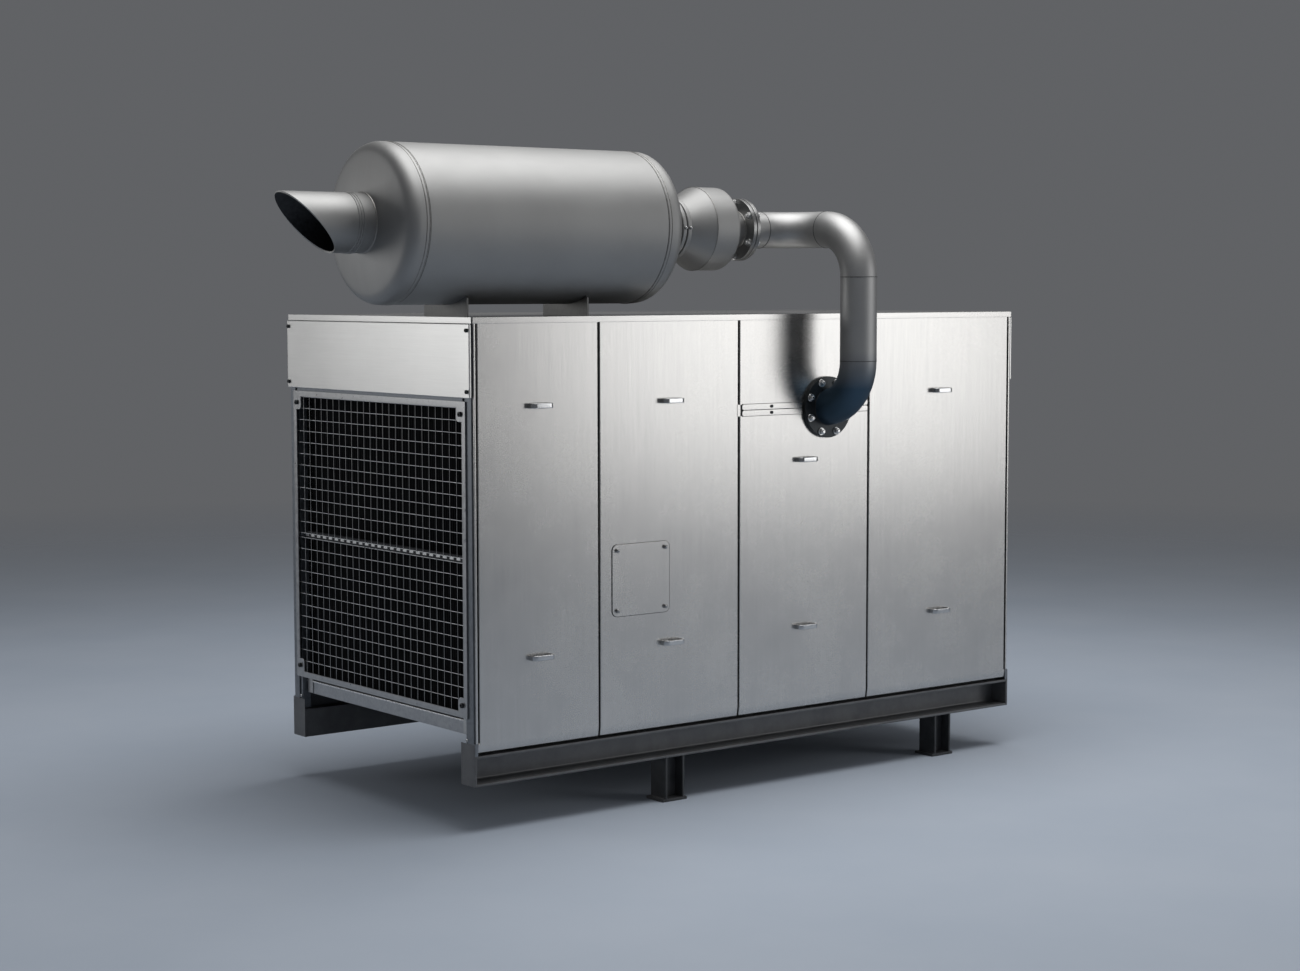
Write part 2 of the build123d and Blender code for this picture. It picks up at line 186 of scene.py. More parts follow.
def roundEdges(piece, test, width, segments):
    openEdit(piece, "EDGE")
    choose(piece, "edges", lambda edge: test(edge.verts[0].co, edge.verts[1].co))
    bpy.ops.mesh.bevel(offset=width, segments=segments, affect="EDGES")
    closeEdit()
    return piece


def cleanShell(piece):
    openEdit(piece)
    takeAll()
    bpy.ops.mesh.remove_doubles(threshold=doubles)
    bpy.ops.mesh.normals_make_consistent(inside=False)
    closeEdit()
    return piece


def copyOf(piece, matrix):
    twin = piece.copy()
    twin.data = piece.data.copy()
    bpy.context.collection.objects.link(twin)
    twin.data.transform(matrix)
    return twin


def joinAll(pieces):
    deselect()
    for piece in pieces:
        piece.select_set(True)
    bpy.context.view_layer.objects.active = pieces[0]
    if len(pieces) > 1:
        bpy.ops.object.join()
    return pieces[0]


def bothEnds(pieces):
    # the pieces of the left end, and the same turned round to the right end
    return pieces + [copyOf(piece, halfTurn) for piece in pieces]


def block(low, high):
    low, high = Vector(low), Vector(high)
    deselect()
    bpy.ops.mesh.primitive_cube_add(size=1, location=(low + high) / 2, scale=high - low)
    return settled()


def softBlock(low, high, edge, segments=2, angle=40):
    return soften(block(low, high), edge, segments, angle)


def flatSheet(centre, turn, wide, tall):
    deselect()
    bpy.ops.mesh.primitive_plane_add(size=1, location=centre, rotation=turn)
    bpy.context.object.scale = (wide, tall, 1)
    return settled()


def rod(radius, depth, centre, sides, turn=(0, 0, 0)):
    deselect()
    bpy.ops.mesh.primitive_cylinder_add(vertices=sides, radius=radius, depth=depth, location=centre,
                                        rotation=turn)
    return settled()


def turnTo(direction):
    return Vector((0, 0, 1)).rotation_difference(Vector(direction))


def rodBetween(start, end, radius, sides):
    start, end = Vector(start), Vector(end)
    turn = turnTo(end - start).to_euler()
    return rod(radius, (end - start).length, (start + end) / 2, sides, turn)


def ringBead(centre, axis, radius, bead):
    deselect()
    bpy.ops.mesh.primitive_torus_add(location=centre, rotation=turnTo(axis).to_euler(), major_radius=radius,
                                     minor_radius=bead, major_segments=ringSteps, minor_segments=beadSteps)
    return settled()


def drawLine(points):
    # one point, drawn on from place to place and left open in edit mode
    deselect()
    bpy.ops.mesh.primitive_plane_add()
    piece = bpy.context.object
    openEdit(piece)
    takeAll()
    bpy.ops.mesh.merge(type="CENTER")
    bpy.ops.transform.translate(value=points[0])
    for start, end in zip(points, points[1:]):
        pull(*[b - a for a, b in zip(start, end)])
    takeAll()
    return piece


def turned(profile, steps=ringSteps, y=exhaustY, z=exhaustZ):
    # (x, radius) points, drawn one by one and spun about the exhaust's line
    piece = drawLine([(x, y, z + radius) for x, radius in profile])
    bendRound((0, y, z), (1, 0, 0), 2 * math.pi, steps)
    closeEdit()
    return cleanShell(piece)


def turnedRing(x0, x1, outside, inside, steps=ringSteps, y=exhaustY, z=exhaustZ):
    profile = [(x0, inside), (x0, outside), (x1, outside), (x1, inside), (x0, inside)]
    return turned(profile, steps, y, z)


# finishes: nodes
def feed(tree, socket, value):
    # a link from another node, or a plain value
    if isinstance(value, bpy.types.NodeSocket):
        tree.links.new(value, socket)
    else:
        socket.default_value = (*value, 1) if socket.type == "RGBA" else value


def addNode(tree, kind, inputs, **settings):
    node = tree.nodes.new("ShaderNode" + kind)
    for key, value in settings.items():
        setattr(node, key, value)
    for key, value in inputs.items():
        feed(tree, node.inputs[key], value)
    return node


def newFinish(name, colour, metallic, roughness):
    finish = bpy.data.materials.new(name)
    finish.use_nodes = True
    tree, shader = finish.node_tree, finish.node_tree.nodes["Principled BSDF"]
    for key, value in (("Base Color", colour), ("Metallic", metallic), ("Roughness", roughness)):
        feed(tree, shader.inputs[key], value)
    return finish, tree, shader


def objectCoords(tree, scale=(1, 1, 1)):
    place = addNode(tree, "TexCoord", {}).outputs["Object"]
    return addNode(tree, "Mapping", {"Vector": place, "Scale": scale}).outputs["Vector"]


def noise(tree, vector, scale, detail, roughness):
    values = {"Vector": vector, "Scale": scale, "Detail": detail, "Roughness": roughness}
    return addNode(tree, "TexNoise", values).outputs["Fac"]


def crystals(tree, scale):
    # flat cells of different grey
    cells = addNode(tree, "TexVoronoi", {"Vector": objectCoords(tree), "Scale": scale}).outputs["Color"]
    return addNode(tree, "SeparateColor", {"Color": cells}).outputs["Red"]


def ranged(tree, value, low, high, start, end):
    values = {"Value": value, "From Min": start, "From Max": end, "To Min": low, "To Max": high}
    return addNode(tree, "MapRange", values).outputs["Result"]


def maths(tree, operation, first, second):
    return addNode(tree, "Math", {0: first, 1: second}, operation=operation).outputs["Value"]


def mixColours(tree, factor, first, second):
    return addNode(tree, "Mix", {"Factor": factor, 6: first, 7: second}, data_type="RGBA").outputs[2]


def summed(tree, layers, shares):
    total = None
    for name, share in shares.items():
        part = layers[name] if share == 1 else maths(tree, "MULTIPLY", layers[name], share)
        total = part if total is None else maths(tree, "ADD", total, part)
    return total


def makeFinish(name, recipe, dark, light, roughness, lowShade=None):
    # noise layers give the tone, the roughness and the bumps, as the recipe says
    finish, tree, shader = newFinish(name, light, recipe["metallic"], roughness)
    stretch = recipe.get("stretch", {})
    layers = {layer: noise(tree, objectCoords(tree, stretch.get(layer, (1, 1, 1))), *values)
              for layer, values in recipe["layers"].items()}
    if "crystal" in recipe:
        layers["crystal"] = crystals(tree, recipe["crystal"])
    tone = ranged(tree, summed(tree, layers, recipe["tone"]), 0.0, 1.0, *recipe["toneSpan"])
    shade = mixColours(tree, tone, dark, light)
    # painted shade and painted blue reflection: the colour turns darker and bluer below a given height
    if lowShade:
        height = addNode(tree, "SeparateXYZ", {"Vector": objectCoords(tree)}).outputs["Z"]
        near = ranged(tree, height, 1.0, 0.0, lowShade["shadeFull"], lowShade["shadeNone"])
        shade = mixColours(tree, near, shade, lowShade["colour"])
    feed(tree, shader.inputs["Base Color"], shade)
    low, high = (roughness + step for step in recipe["spread"])
    matt = ranged(tree, summed(tree, layers, recipe["rough"]), low, high, *recipe["roughSpan"])
    feed(tree, shader.inputs["Roughness"], matt)
    normal = {}
    for layer, strength, depth in recipe["bumps"]:
        values = {"Height": layers[layer], "Strength": strength, "Distance": depth, **normal}
        normal = {"Normal": addNode(tree, "Bump", values).outputs["Normal"]}
    feed(tree, shader.inputs["Normal"], normal["Normal"])
    return finish


# finishes: recipes, with each layer's scale, detail and roughness, and each bump's strength and depth
# brushed stainless: long grain, cloudy hand marks and a slightly wavy sheet
satin = {"layers": {"fine": (1.0, 3.0, 0.6), "speckle": (260.0, 2.0, 0.7), "cloud": (2.6, 5.0, 0.62),
                    "wave": (2.0, 1.0, 0.4), "streak": (1.0, 2.0, 0.5)},
         "tone": {"fine": 0.35, "streak": 0.17, "cloud": 0.48}, "toneSpan": (0.35, 0.65),
         "rough": {"cloud": 0.6, "speckle": 0.4}, "roughSpan": (0.3, 0.7), "metallic": 1.0,
         "bumps": (("wave", 0.03, 0.01), ("fine", 0.03, 0.0004), ("speckle", 0.04, 0.0004)),
         "waveStretch": (1.1, 1.1, 0.7), "streakShare": 0.2}
# bead-blasted exhaust steel: matt, fine grained and faintly mottled
blasted = {"layers": {"grain": (420.0, 2.0, 0.6), "mottle": (7.0, 6.0, 0.65), "run": (1.6, 3.0, 0.55)},
           "tone": {"mottle": 0.55, "run": 0.45}, "toneSpan": (0.32, 0.68), "rough": {"mottle": 1},
           "roughSpan": (0.3, 0.7), "bumps": (("mottle", 0.06, 0.003), ("grain", 0.12, 0.0005)),
           "stretch": {"run": (3.0, 9.0, 1.2)}, "metallic": 1.0, "spread": (0.0, 0.06)}
# brushed-on frame paint: a thick film with duller patches
paint = {"layers": {"film": (120.0, 3.0, 0.55), "patch": (9.0, 5.0, 0.65)},
         "tone": {"patch": 1}, "toneSpan": (0.35, 0.65), "rough": {"patch": 1}, "roughSpan": (0.3, 0.7),
         "bumps": (("film", 0.12, 0.0008),), "metallic": 0.35, "spread": (-0.08, 0.1)}
# galvanised sheet and wire: small crystals of different grey
zinc = {"layers": {"cloud": (14.0, 4.0, 0.6)}, "crystal": 95.0,
        "tone": {"crystal": 0.4, "cloud": 0.6}, "toneSpan": (0.2, 0.8),
        "rough": {"crystal": 0.4, "cloud": 0.6}, "roughSpan": (0.2, 0.8),
        "bumps": (("cloud", 0.05, 0.001),), "metallic": 0.9, "spread": (-0.07, 0.09)}
# an even fine grain in colour, gloss and height
grainy = {"tone": {"grain": 1}, "toneSpan": (0.3, 0.7), "rough": {"grain": 1}, "roughSpan": (0.3, 0.7),
          "detail": 4.0, "roughness": 0.6, "bump": 0.2, "spread": (-0.06, 0.08)}


def satinSheet(name, grain, tones):
    streaks = tuple(satin["streakShare"] * share for share in grain)
    stretch = {"fine": grain, "streak": streaks, "wave": satin["waveStretch"]}
    recipe = {**satin, "spread": tones["spread"], "stretch": stretch}
    return makeFinish(name, recipe, tones["dark"], tones["light"], tones["rough"])


def plainGrain(name, dark, light, metallic, roughness, scale, depth):
    layers = {"grain": (scale, grainy["detail"], grainy["roughness"])}
    recipe = {**grainy, "metallic": metallic, "layers": layers, "bumps": (("grain", grainy["bump"], depth),)}
    return makeFinish(name, recipe, dark, light, roughness)


# finishes: dark and light tone, then roughness, or metal, roughness, grain scale and grain depth
satinTones = {"dark": (0.449, 0.444, 0.435), "light": (0.54, 0.53, 0.515), "rough": 0.245,
              "spread": (0.0, 0.045)}
# a paler satin for the end faces: painted light, the lamp mirrored in them
litTones = {"dark": (0.56, 0.558, 0.548), "light": (0.63, 0.628, 0.615), "rough": 0.28,
             "spread": (0.0, 0.08)}
# the pipe turns darker and bluer towards its bottom end: painted shade and a painted blue reflection of the
# floor
lowShadeTint = {"shadeFull": 1.70, "shadeNone": 1.86, "colour": (0.055, 0.092, 0.132)}
uprightSatin = satinSheet("satin steel, upright grain", (420, 420, 7), satinTones)
levelSatin = satinSheet("satin steel, level grain", (7, 420, 420), satinTones)
litSatin = satinSheet("satin steel, painted light", (420, 7, 420), litTones)
exhaustSteel = makeFinish("blasted exhaust steel", blasted, (0.31, 0.309, 0.305), (0.35, 0.349, 0.344), 0.56)
pipeSteel = makeFinish("pipe steel, painted low shade", blasted, (0.36, 0.359, 0.356), (0.41, 0.408, 0.404), 0.5,
                       lowShadeTint)
weldSteel = plainGrain("weld bead", (0.24, 0.235, 0.23), (0.40, 0.39, 0.37), 0.95, 0.45, 240.0, 0.0008)
seamDark = plainGrain("seam shadow", (0.03, 0.03, 0.031), (0.07, 0.07, 0.072), 0.4, 0.6, 200.0, 0.0003)
flangeSteel = plainGrain("dark flange steel", (0.03, 0.033, 0.035), (0.06, 0.064, 0.067),
                         0.85, 0.42, 150.0, 0.0004)
couplingSteel = plainGrain("coupling flange", (0.25, 0.25, 0.248), (0.33, 0.33, 0.327),
                           1.0, 0.36, 150.0, 0.0003)
machinedSteel = plainGrain("machined flange", (0.40, 0.40, 0.398), (0.50, 0.50, 0.496),
                           1.0, 0.34, 150.0, 0.0003)
# painted highlight for the dashes on the mid rail
railHighlight = plainGrain("painted rail highlight", (0.78, 0.78, 0.77), (0.90, 0.90, 0.89), 1.0, 0.3, 180.0, 0.0002)
zincBolt = plainGrain("zinc bolt", (0.50, 0.50, 0.50), (0.72, 0.72, 0.71), 1.0, 0.28, 180.0, 0.0002)
handleSteel = plainGrain("polished strap", (0.48, 0.485, 0.49), (0.60, 0.605, 0.61),
                         1.0, 0.19, 160.0, 0.0001)
screwSteel = plainGrain("dark screw", (0.24, 0.242, 0.245), (0.36, 0.362, 0.366), 1.0, 0.22, 180.0, 0.0001)
barZinc = plainGrain("grille bar zinc", (0.33, 0.334, 0.338), (0.40, 0.404, 0.408),
                     0.95, 0.33, 60.0, 0.0002)
coreBlack = plainGrain("matt black fins", (0.006, 0.006, 0.0065), (0.014, 0.014, 0.015),
                       0.1, 0.62, 60.0, 0.001)
# near black: the flange gasket's own colour, and painted shadow in the rims and caps round the cover and the
# strips
gasketAndShadowBlack = plainGrain("graphite gasket and painted shadow", (0.016, 0.016, 0.016), (0.036, 0.036, 0.036),
                        0.0, 0.7, 300.0, 0.0005)
sootBlack = plainGrain("soot", (0.016, 0.018, 0.021), (0.05, 0.053, 0.058), 0.3, 0.6, 70.0, 0.001)
framePaint = makeFinish("frame paint", paint, (0.095, 0.097, 0.101), (0.145, 0.147, 0.152), 0.44)
# near-black frame paint for the legs and sills: painted shade under the housing
shadePaint = makeFinish("frame paint, painted shade", paint, (0.035, 0.037, 0.04), (0.06, 0.062, 0.066), 0.44)
# galvanised sheet for posts, mullions and headers, its dark blue-grey tone partly painted shade
postZinc = makeFinish("zinc sheet, partly painted shade", zinc, (0.15, 0.162, 0.178), (0.21, 0.224, 0.243), 0.42)
saddleZinc = makeFinish("saddle plate", zinc, (0.10, 0.10, 0.098), (0.15, 0.15, 0.146), 0.46)
railZinc = makeFinish("rail zinc", zinc, (0.30, 0.31, 0.325), (0.40, 0.41, 0.425), 0.4)
# bright zinc for the level wires: painted light
litWireZinc = makeFinish("zinc wire, painted light", zinc, (0.70, 0.705, 0.71), (0.84, 0.845, 0.85), 0.32)
shadedZinc = makeFinish("shaded rail zinc", zinc, (0.03, 0.031, 0.033), (0.06, 0.061, 0.064), 0.55)
print("finishes made")


def done(name, pieces, finish, slot, *replaced):
    # joined under one name, with a finish, its body and the plain solids that it stands for
    piece = named(joinAll(pieces), name)
    if not piece.data.materials:
        piece.data.materials.append(finish)
    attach(piece, "root")
    if replaced:
        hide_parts(*replaced)


def giveFinish(finish, *nodes):
    for name in nodes:
        materials = frame["nodes"][name].data.materials
        materials.clear()
        materials.append(finish)


# fasteners, with insets and rises in shares of their own width or height;
# a piece's own bolt, screw or rivet gives the width, the height and a hexagon bolt's thread end
hexagon = {"chamfer": (0.12, 0.054), "washer": 0.6875, "washerThick": 0.1, "washerBevel": 0.3,
           "washerSides": 20, "thread": 0.32, "threadTop": (0.06, 0.05), "threadSides": 14, "shade": 30}
dome = {"sides": 16, "steps": ((0.14, 0.35), (0.14, 0.12)), "shade": 50}
socket = {"sides": 18, "rim": (0.08, 0.05), "wall": 0.16, "taper": 0.02, "deep": 0.8, "shade": 40}
turnStep = 0.35  # each bolt of a set is turned this much further


def shapeTop(piece, steps):
    # insets the top face, step by step
    openEdit(piece, "FACE")
    choose(piece, "faces", lambda face: face.normal.z > facingUp)
    for thickness, rise in steps:
        bpy.ops.mesh.inset(thickness=thickness, depth=rise)
    closeEdit()
    return piece


def shares(length, pair):
    return [length * share for share in pair]


def hexBolt(across, height, shank):
    # stands on z = 0 and points up: washer, hexagon head and thread end
    thick, tall = across * hexagon["washerThick"], height + shank
    head = rod(across / math.sqrt(3), height, (0, 0, thick + height / 2), 6)
    shapeTop(head, [shares(across, hexagon["chamfer"])])
    washer = rod(across * hexagon["washer"], thick, (0, 0, thick / 2), hexagon["washerSides"])
    roundEdges(washer, lambda a, b: meets(a.z, thick) and meets(b.z, thick),
               thick * hexagon["washerBevel"], 1)
    thread = rod(across * hexagon["thread"], tall, (0, 0, thick + tall / 2), hexagon["threadSides"])
    shapeTop(thread, [shares(across, hexagon["threadTop"])])
    return smooth(joinAll([head, washer, thread]), hexagon["shade"])


def roundScrew(across, height):
    # a low dome with a rounded rim
    screw = rod(across / 2, height, (0, 0, height / 2), dome["sides"])
    shapeTop(screw, [(across * inset, height * rise) for inset, rise in dome["steps"]])
    return smooth(screw, dome["shade"])


def socketScrew(across, height):
    # a round head with a deep socket
    screw = rod(across / 2, height, (0, 0, height / 2), socket["sides"])
    shapeTop(screw, [shares(across, socket["rim"]), (across * socket["wall"], 0),
                     (across * socket["taper"], -height * socket["deep"])])
    return smooth(screw, socket["shade"])


def seated(pattern, point, direction, spin):
    turn = turnTo(direction).to_matrix().to_4x4()
    return copyOf(pattern, Matrix.Translation(point) @ turn @ Matrix.Rotation(spin, 4, "Z"))


def boltSet(name, pattern, seats, finish, slot):
    # a copy on each seat, every one turned a little further
    pieces = [seated(pattern, *seat, turnStep * index) for index, seat in enumerate(seats)]
    remove(pattern)
    done(name, pieces, finish, slot)


def cornerSeats(faceX, outward, low, high, values):
    # four seats near the corners of a plate on an end wall
    side, end = values["boltSide"], values["boltEnd"]
    return [((faceX, y, z), (outward, 0, 0)) for y in (low.y + side, high.y - side)
            for z in (low.z + end, high.z - end)]


# corner posts: a bright strip beside the panels, the darker post behind its notch, a shoe plate on the frame
corner = {"strip": 0.015, "notchWide": 0.010, "notchDeep": 0.006, "fold": 0.050, "flange": 0.050,
          "leg": 0.045, "clear": 0.006, "back": 0.070, "edge": 0.0012, "shoeWide": 0.097, "shoeTop": 0.046,
          "shoeProud": 0.002, "boltY": 0.060, "boltZ": 0.056, "bolt": (0.013, 0.005)}


def fromCorner(x, y, right, rear):
    return postHigh.x - x if right else postLow.x + x, postHigh.y - y if rear else postLow.y + y


def cornerBlock(alongX, alongY, alongZ, right, rear):
    # measured from one corner of the housing
    xs, ys = zip(*[fromCorner(x, y, right, rear) for x, y in zip(alongX, alongY)])
    low, high = zip(*[(min(span), max(span)) for span in (xs, ys, alongZ)])
    return softBlock(low, high, corner["edge"])


posts, strips, shoes, seats = [], [], [], []
foot, head, fold = postLow.z, postHigh.z, postLow.z + corner["fold"]
cornerBars = [(posts, (0, corner["strip"]), (corner["notchWide"], corner["flange"]), (foot, head)),
              (posts, (corner["clear"], corner["leg"]), (corner["flange"], corner["back"]), (foot, head)),
              (posts, (0, corner["strip"]), (0, corner["notchWide"]), (foot, fold)),
              (strips, (corner["notchDeep"], corner["strip"]), (0, corner["notchWide"]), (fold, head)),
              (shoes, (-corner["shoeProud"], 0), (0, corner["shoeWide"]),
               (beamLow.z, foot + corner["shoeTop"]))]
for right in (False, True):
    for rear in (False, True):
        for bars, *spans in cornerBars:
            bars.append(cornerBlock(*spans, right, rear))
        boltPlace = fromCorner(corner["clear"], corner["boltY"], right, rear)
        seats.append(((*boltPlace, foot + corner["boltZ"]), (1 if right else -1, 0, 0)))
done("posts", posts, postZinc, "post_steel", "corner_posts")
done("cornerStrips", strips, uprightSatin, "panel_steel")
done("cornerShoes", shoes, framePaint, "frame_paint")
boltSet("shoeScrews", socketScrew(*corner["bolt"]), seats, zincBolt, "handle_steel")
print("corner posts done")


# side panels: a shallow crease above the bottom edge, where the sheet leans in
sidePanel = {"edge": 0.004, "fold": 0.038, "lean": 0.005, "groove": 0.008, "footReach": 0.01, "corners": 30,
             "holeRadius": 0.084, "holeDepth": 0.3, "holeSides": 64}
sideNodes = {"front": ("front_panel_1", "front_panel_2", "front_panel_3_lower", "front_panel_3_upper",
                       "front_panel_4"),
             "rear": ("rear_panel_1", "rear_panel_2", "rear_panel_3", "rear_panel_4")}
tongues = {"1": -1, "4": 1}  # the end panels have a tongue at the foot, beside the corner strip


def makeSidePanel(node, tongue):
    low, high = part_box(node)
    faceY, inward = (low.y, 1) if low.y < 0 else (high.y, -1)
    x0 = low.x + (sidePanel["groove"] if tongue < 0 else 0)
    x1 = high.x - (sidePanel["groove"] if tongue > 0 else 0)
    piece = block((x0, low.y, low.z), (x1, high.y, high.z))
    fold = low.z + sidePanel["fold"]
    if low.z < panelBottom + sidePanel["footReach"]:
        openEdit(piece)
        cutAcross((0, 0, fold), (0, 0, 1))
        if tongue:
            sideX = x0 if tongue < 0 else x1
            bpy.ops.mesh.select_mode(type="FACE")
            choose(piece, "faces", lambda face: meets(face.calc_center_median().x, sideX)
                   and face.calc_center_median().z < fold)
            pull(tongue * sidePanel["groove"], 0, 0)
            bpy.ops.mesh.select_mode(type="VERT")
        choose(piece, "verts", lambda vert: meets(vert.co.y, faceY) and meets(vert.co.z, low.z))
        bpy.ops.transform.translate(value=(0, inward * sidePanel["lean"], 0))
        closeEdit()
        cleanShell(piece)
    return soften(piece, sidePanel["edge"], 3, sidePanel["corners"])


def cutRound(piece, point):
    cutter = rod(sidePanel["holeRadius"], sidePanel["holeDepth"], point, sidePanel["holeSides"],
                 (quarter, 0, 0))
    useModifier(piece, "BOOLEAN", operation="DIFFERENCE", object=cutter, solver="EXACT")
    remove(cutter)
    return evenShade(piece)


for node in sideNodes["front"] + sideNodes["rear"]:
    panel = makeSidePanel(node, tongues.get(node[-1], 0))
    if "_3_" in node:
        cutRound(panel, (pipeX, postLow.y, flangeZ))
    done("sheet_" + node, [panel], uprightSatin, "panel_steel", node)
print("side panels done")


# handles: one bow of flat strap, bent twice, copied to every panel
bow = {"length": 0.108, "reach": 0.036, "strap": 0.008, "height": 0.020, "bend": 0.022, "bendSteps": 7,
       "edge": 0.0026, "low": 0.353, "high": 1.351, "splitHigh": 1.076}


def bowHandle():
    half, bend, steps = bow["length"] / 2, bow["bend"], bow["bendSteps"]
    straight = bow["reach"] - bend
    piece = flatSheet((-half + bow["strap"] / 2, 0, 0), (quarter, 0, 0), bow["strap"], bow["height"])
    openEdit(piece)
    takeAll()
    bpy.ops.mesh.delete(type="ONLY_FACE")
    takeAll()
    pull(0, -straight, 0)
    bendRound((-half + bend, -straight, 0), (0, 0, 1), -quarter, steps)
    pull(2 * (half - bend), 0, 0)
    bendRound((half - bend, -straight, 0), (0, 0, 1), -quarter, steps)
    pull(0, straight, 0)
    takeAll()
    bpy.ops.mesh.remove_doubles(threshold=doubles)
    bpy.ops.mesh.fill_holes(sides=4)
    closeEdit()
    cleanShell(piece)
    return soften(piece, bow["edge"], 3, clearCorners)


pattern = bowHandle()
for side, nodes in sideNodes.items():
    bows = []
    turn = Matrix.Rotation(0 if side == "front" else math.pi, 4, "Z")
    for node in nodes:
        if node.endswith("upper"):
            continue
        low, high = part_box(node)
        x = (low.x + high.x) / 2 - tongues.get(node[-1], 0) * sidePanel["groove"] / 2
        y = low.y if side == "front" else high.y
        for level in (bow["low"], bow["splitHigh"] if node.endswith("lower") else bow["high"]):
            bows.append(copyOf(pattern, Matrix.Translation((x, y, panelBottom + level)) @ turn))
    done("bows_" + side, bows, handleSteel, "handle_steel", "handles_" + side)
remove(pattern)
print("handles done")


# service cover with its four screws
cover = {"radius": 0.025, "roundSteps": 6, "edge": 0.0018, "screwInset": 0.024,
         "screw": (0.017, 0.008), "rim": 0.0016, "rimProud": 0.0026, "rimEdge": 0.0026 / 3}
low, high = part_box("service_cover")


def roundedPlate(low, high, radius, edge):
    # a flat plate on the front wall with round corners
    piece = block(low, high)
    roundEdges(piece, lambda a, b: meets(a.x, b.x) and meets(a.z, b.z), radius, cover["roundSteps"])
    return soften(piece, edge, 2, clearCorners)


lid = roundedPlate(low, high, cover["radius"], cover["edge"])
done("coverPlate", [lid], uprightSatin, "panel_steel", "service_cover")
# a dark rim round the cover plate: painted shadow along its edges
rim, inset = cover["rim"], cover["screwInset"]
darkLine = roundedPlate((low.x - rim, high.y - cover["rimProud"], low.z - rim),
                    (high.x + rim, high.y, high.z + rim), cover["radius"] + rim, cover["rimEdge"])
done("coverShadowRim", [darkLine], gasketAndShadowBlack, "core_black")
seats = [((x, low.y, z), (0, -1, 0)) for x in (low.x + inset, high.x - inset)
         for z in (low.z + inset, high.z - inset)]
boltSet("coverScrews", roundScrew(*cover["screw"]), seats, screwSteel, "handle_steel")


# joint strips on both sides of the wall flange
strip = {"height": 0.024, "flangeGap": 0.003, "round": 0.009, "roundSteps": 5, "edge": 0.0008,
         "screw": (0.013, 0.004), "screwX": 0.1621, "darkLine": 0.0016, "sealProud": 0.0012,
         "sealEdge": 0.0004, "cap": 0.009, "capProud": 0.0012, "bridge": 0.025, "bridgeLap": 0.006,
         "bridgeProud": 0.0015, "bridgeEdge": 0.0005, "rim": 0.0016, "rimProud": 0.001}
low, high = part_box("joint_strips")
flangeLeft, flangeRight = pipeX - flangeRadius, pipeX + flangeRadius
bars, seats = [], []
stripLevels = [(z, z + strip["height"]) for z in (low.z, high.z - strip["height"])]
for z0, z1 in stripLevels:
    for x0, x1, outer in ((low.x, flangeLeft - strip["flangeGap"], low.x),
                          (flangeRight + strip["flangeGap"], high.x, high.x)):
        bar = block((x0, low.y, z0), (x1, high.y, z1))
        roundEdges(bar, lambda a, b: meets(a.x, outer) and meets(b.x, outer) and meets(a.z, b.z),
                   strip["round"], strip["roundSteps"])
        bars.append(bar)
    seats.append(((low.x + strip["screwX"], low.y, z0 + strip["height"] / 2), (0, -1, 0)))
jointBars = soften(joinAll(bars), strip["edge"], 2, clearCorners)
done("jointBars", [jointBars], levelSatin, "panel_steel", "joint_strips")
boltSet("stripScrews", roundScrew(*strip["screw"]), seats, flangeSteel, "flange_steel")
# the dark seal in the joint; a dark cap on the bars' outer ends and a dark rim round each bar, both painted
# shadow; and a small plate across the panel gap
stripSpans = ((low.x, flangeLeft), (flangeRight, high.x))
sealAndShadowBoxes = [((x0, high.y - strip["sealProud"], flangeZ - strip["darkLine"]),
              (x1, high.y, flangeZ + strip["darkLine"])) for x0, x1 in stripSpans]
for z0, z1 in stripLevels:
    sealAndShadowBoxes.append(((low.x - strip["cap"], low.y, z0 + strip["capProud"]),
                      (low.x, high.y, z1 - strip["capProud"])))
    for x0, x1 in stripSpans:
        sealAndShadowBoxes.append(((x0, high.y - strip["rimProud"], z0 - strip["rim"]),
                          (x1, high.y, z1 + strip["rim"])))
sealAndShadowBars = [softBlock(*corners, strip["sealEdge"], 1, clearCorners) for corners in sealAndShadowBoxes]
done("stripSealAndShadowLines", sealAndShadowBars, gasketAndShadowBlack, "core_black")
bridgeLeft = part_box("front_panel_2")[1].x - strip["bridgeLap"]
bridge = softBlock((bridgeLeft, high.y - strip["bridgeProud"], flangeZ - strip["bridge"]),
                   (low.x - strip["cap"], high.y, flangeZ + strip["bridge"]),
                   strip["bridgeEdge"], 1, clearCorners)
done("gapPlate", [bridge], levelSatin, "panel_steel")
print("cover and strips done")


# roof sheet with four folded lips
roofSheet = {"sheet": 0.010, "lip": 0.025, "lipThick": 0.003, "slit": 0.002, "edge": 0.0012}
low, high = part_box("roof")
lip, slit = roofSheet["lipThick"], roofSheet["slit"]
left, right, front, back = low.x + lip, high.x - lip, low.y + lip, high.y - lip
top, bottom = high.z, high.z - roofSheet["lip"]
# the two end lips take the paler satin: painted light
roofBoxes = [((left, front, top - roofSheet["sheet"]), (right, back, top), levelSatin),
             ((left + slit, low.y, bottom), (right - slit, front, top), levelSatin),
             ((left + slit, back, bottom), (right - slit, high.y, top), levelSatin),
             ((low.x, front + slit, bottom), (left, back - slit, top), litSatin),
             ((right, front + slit, bottom), (high.x, back - slit, top), litSatin)]
sheets = []
for boxLow, boxHigh, finish in roofBoxes:
    sheets.append(softBlock(boxLow, boxHigh, roofSheet["edge"]))
    sheets[-1].data.materials.append(finish)
done("roofPlate", sheets, levelSatin, "roof_steel", "roof")
print("roof done")


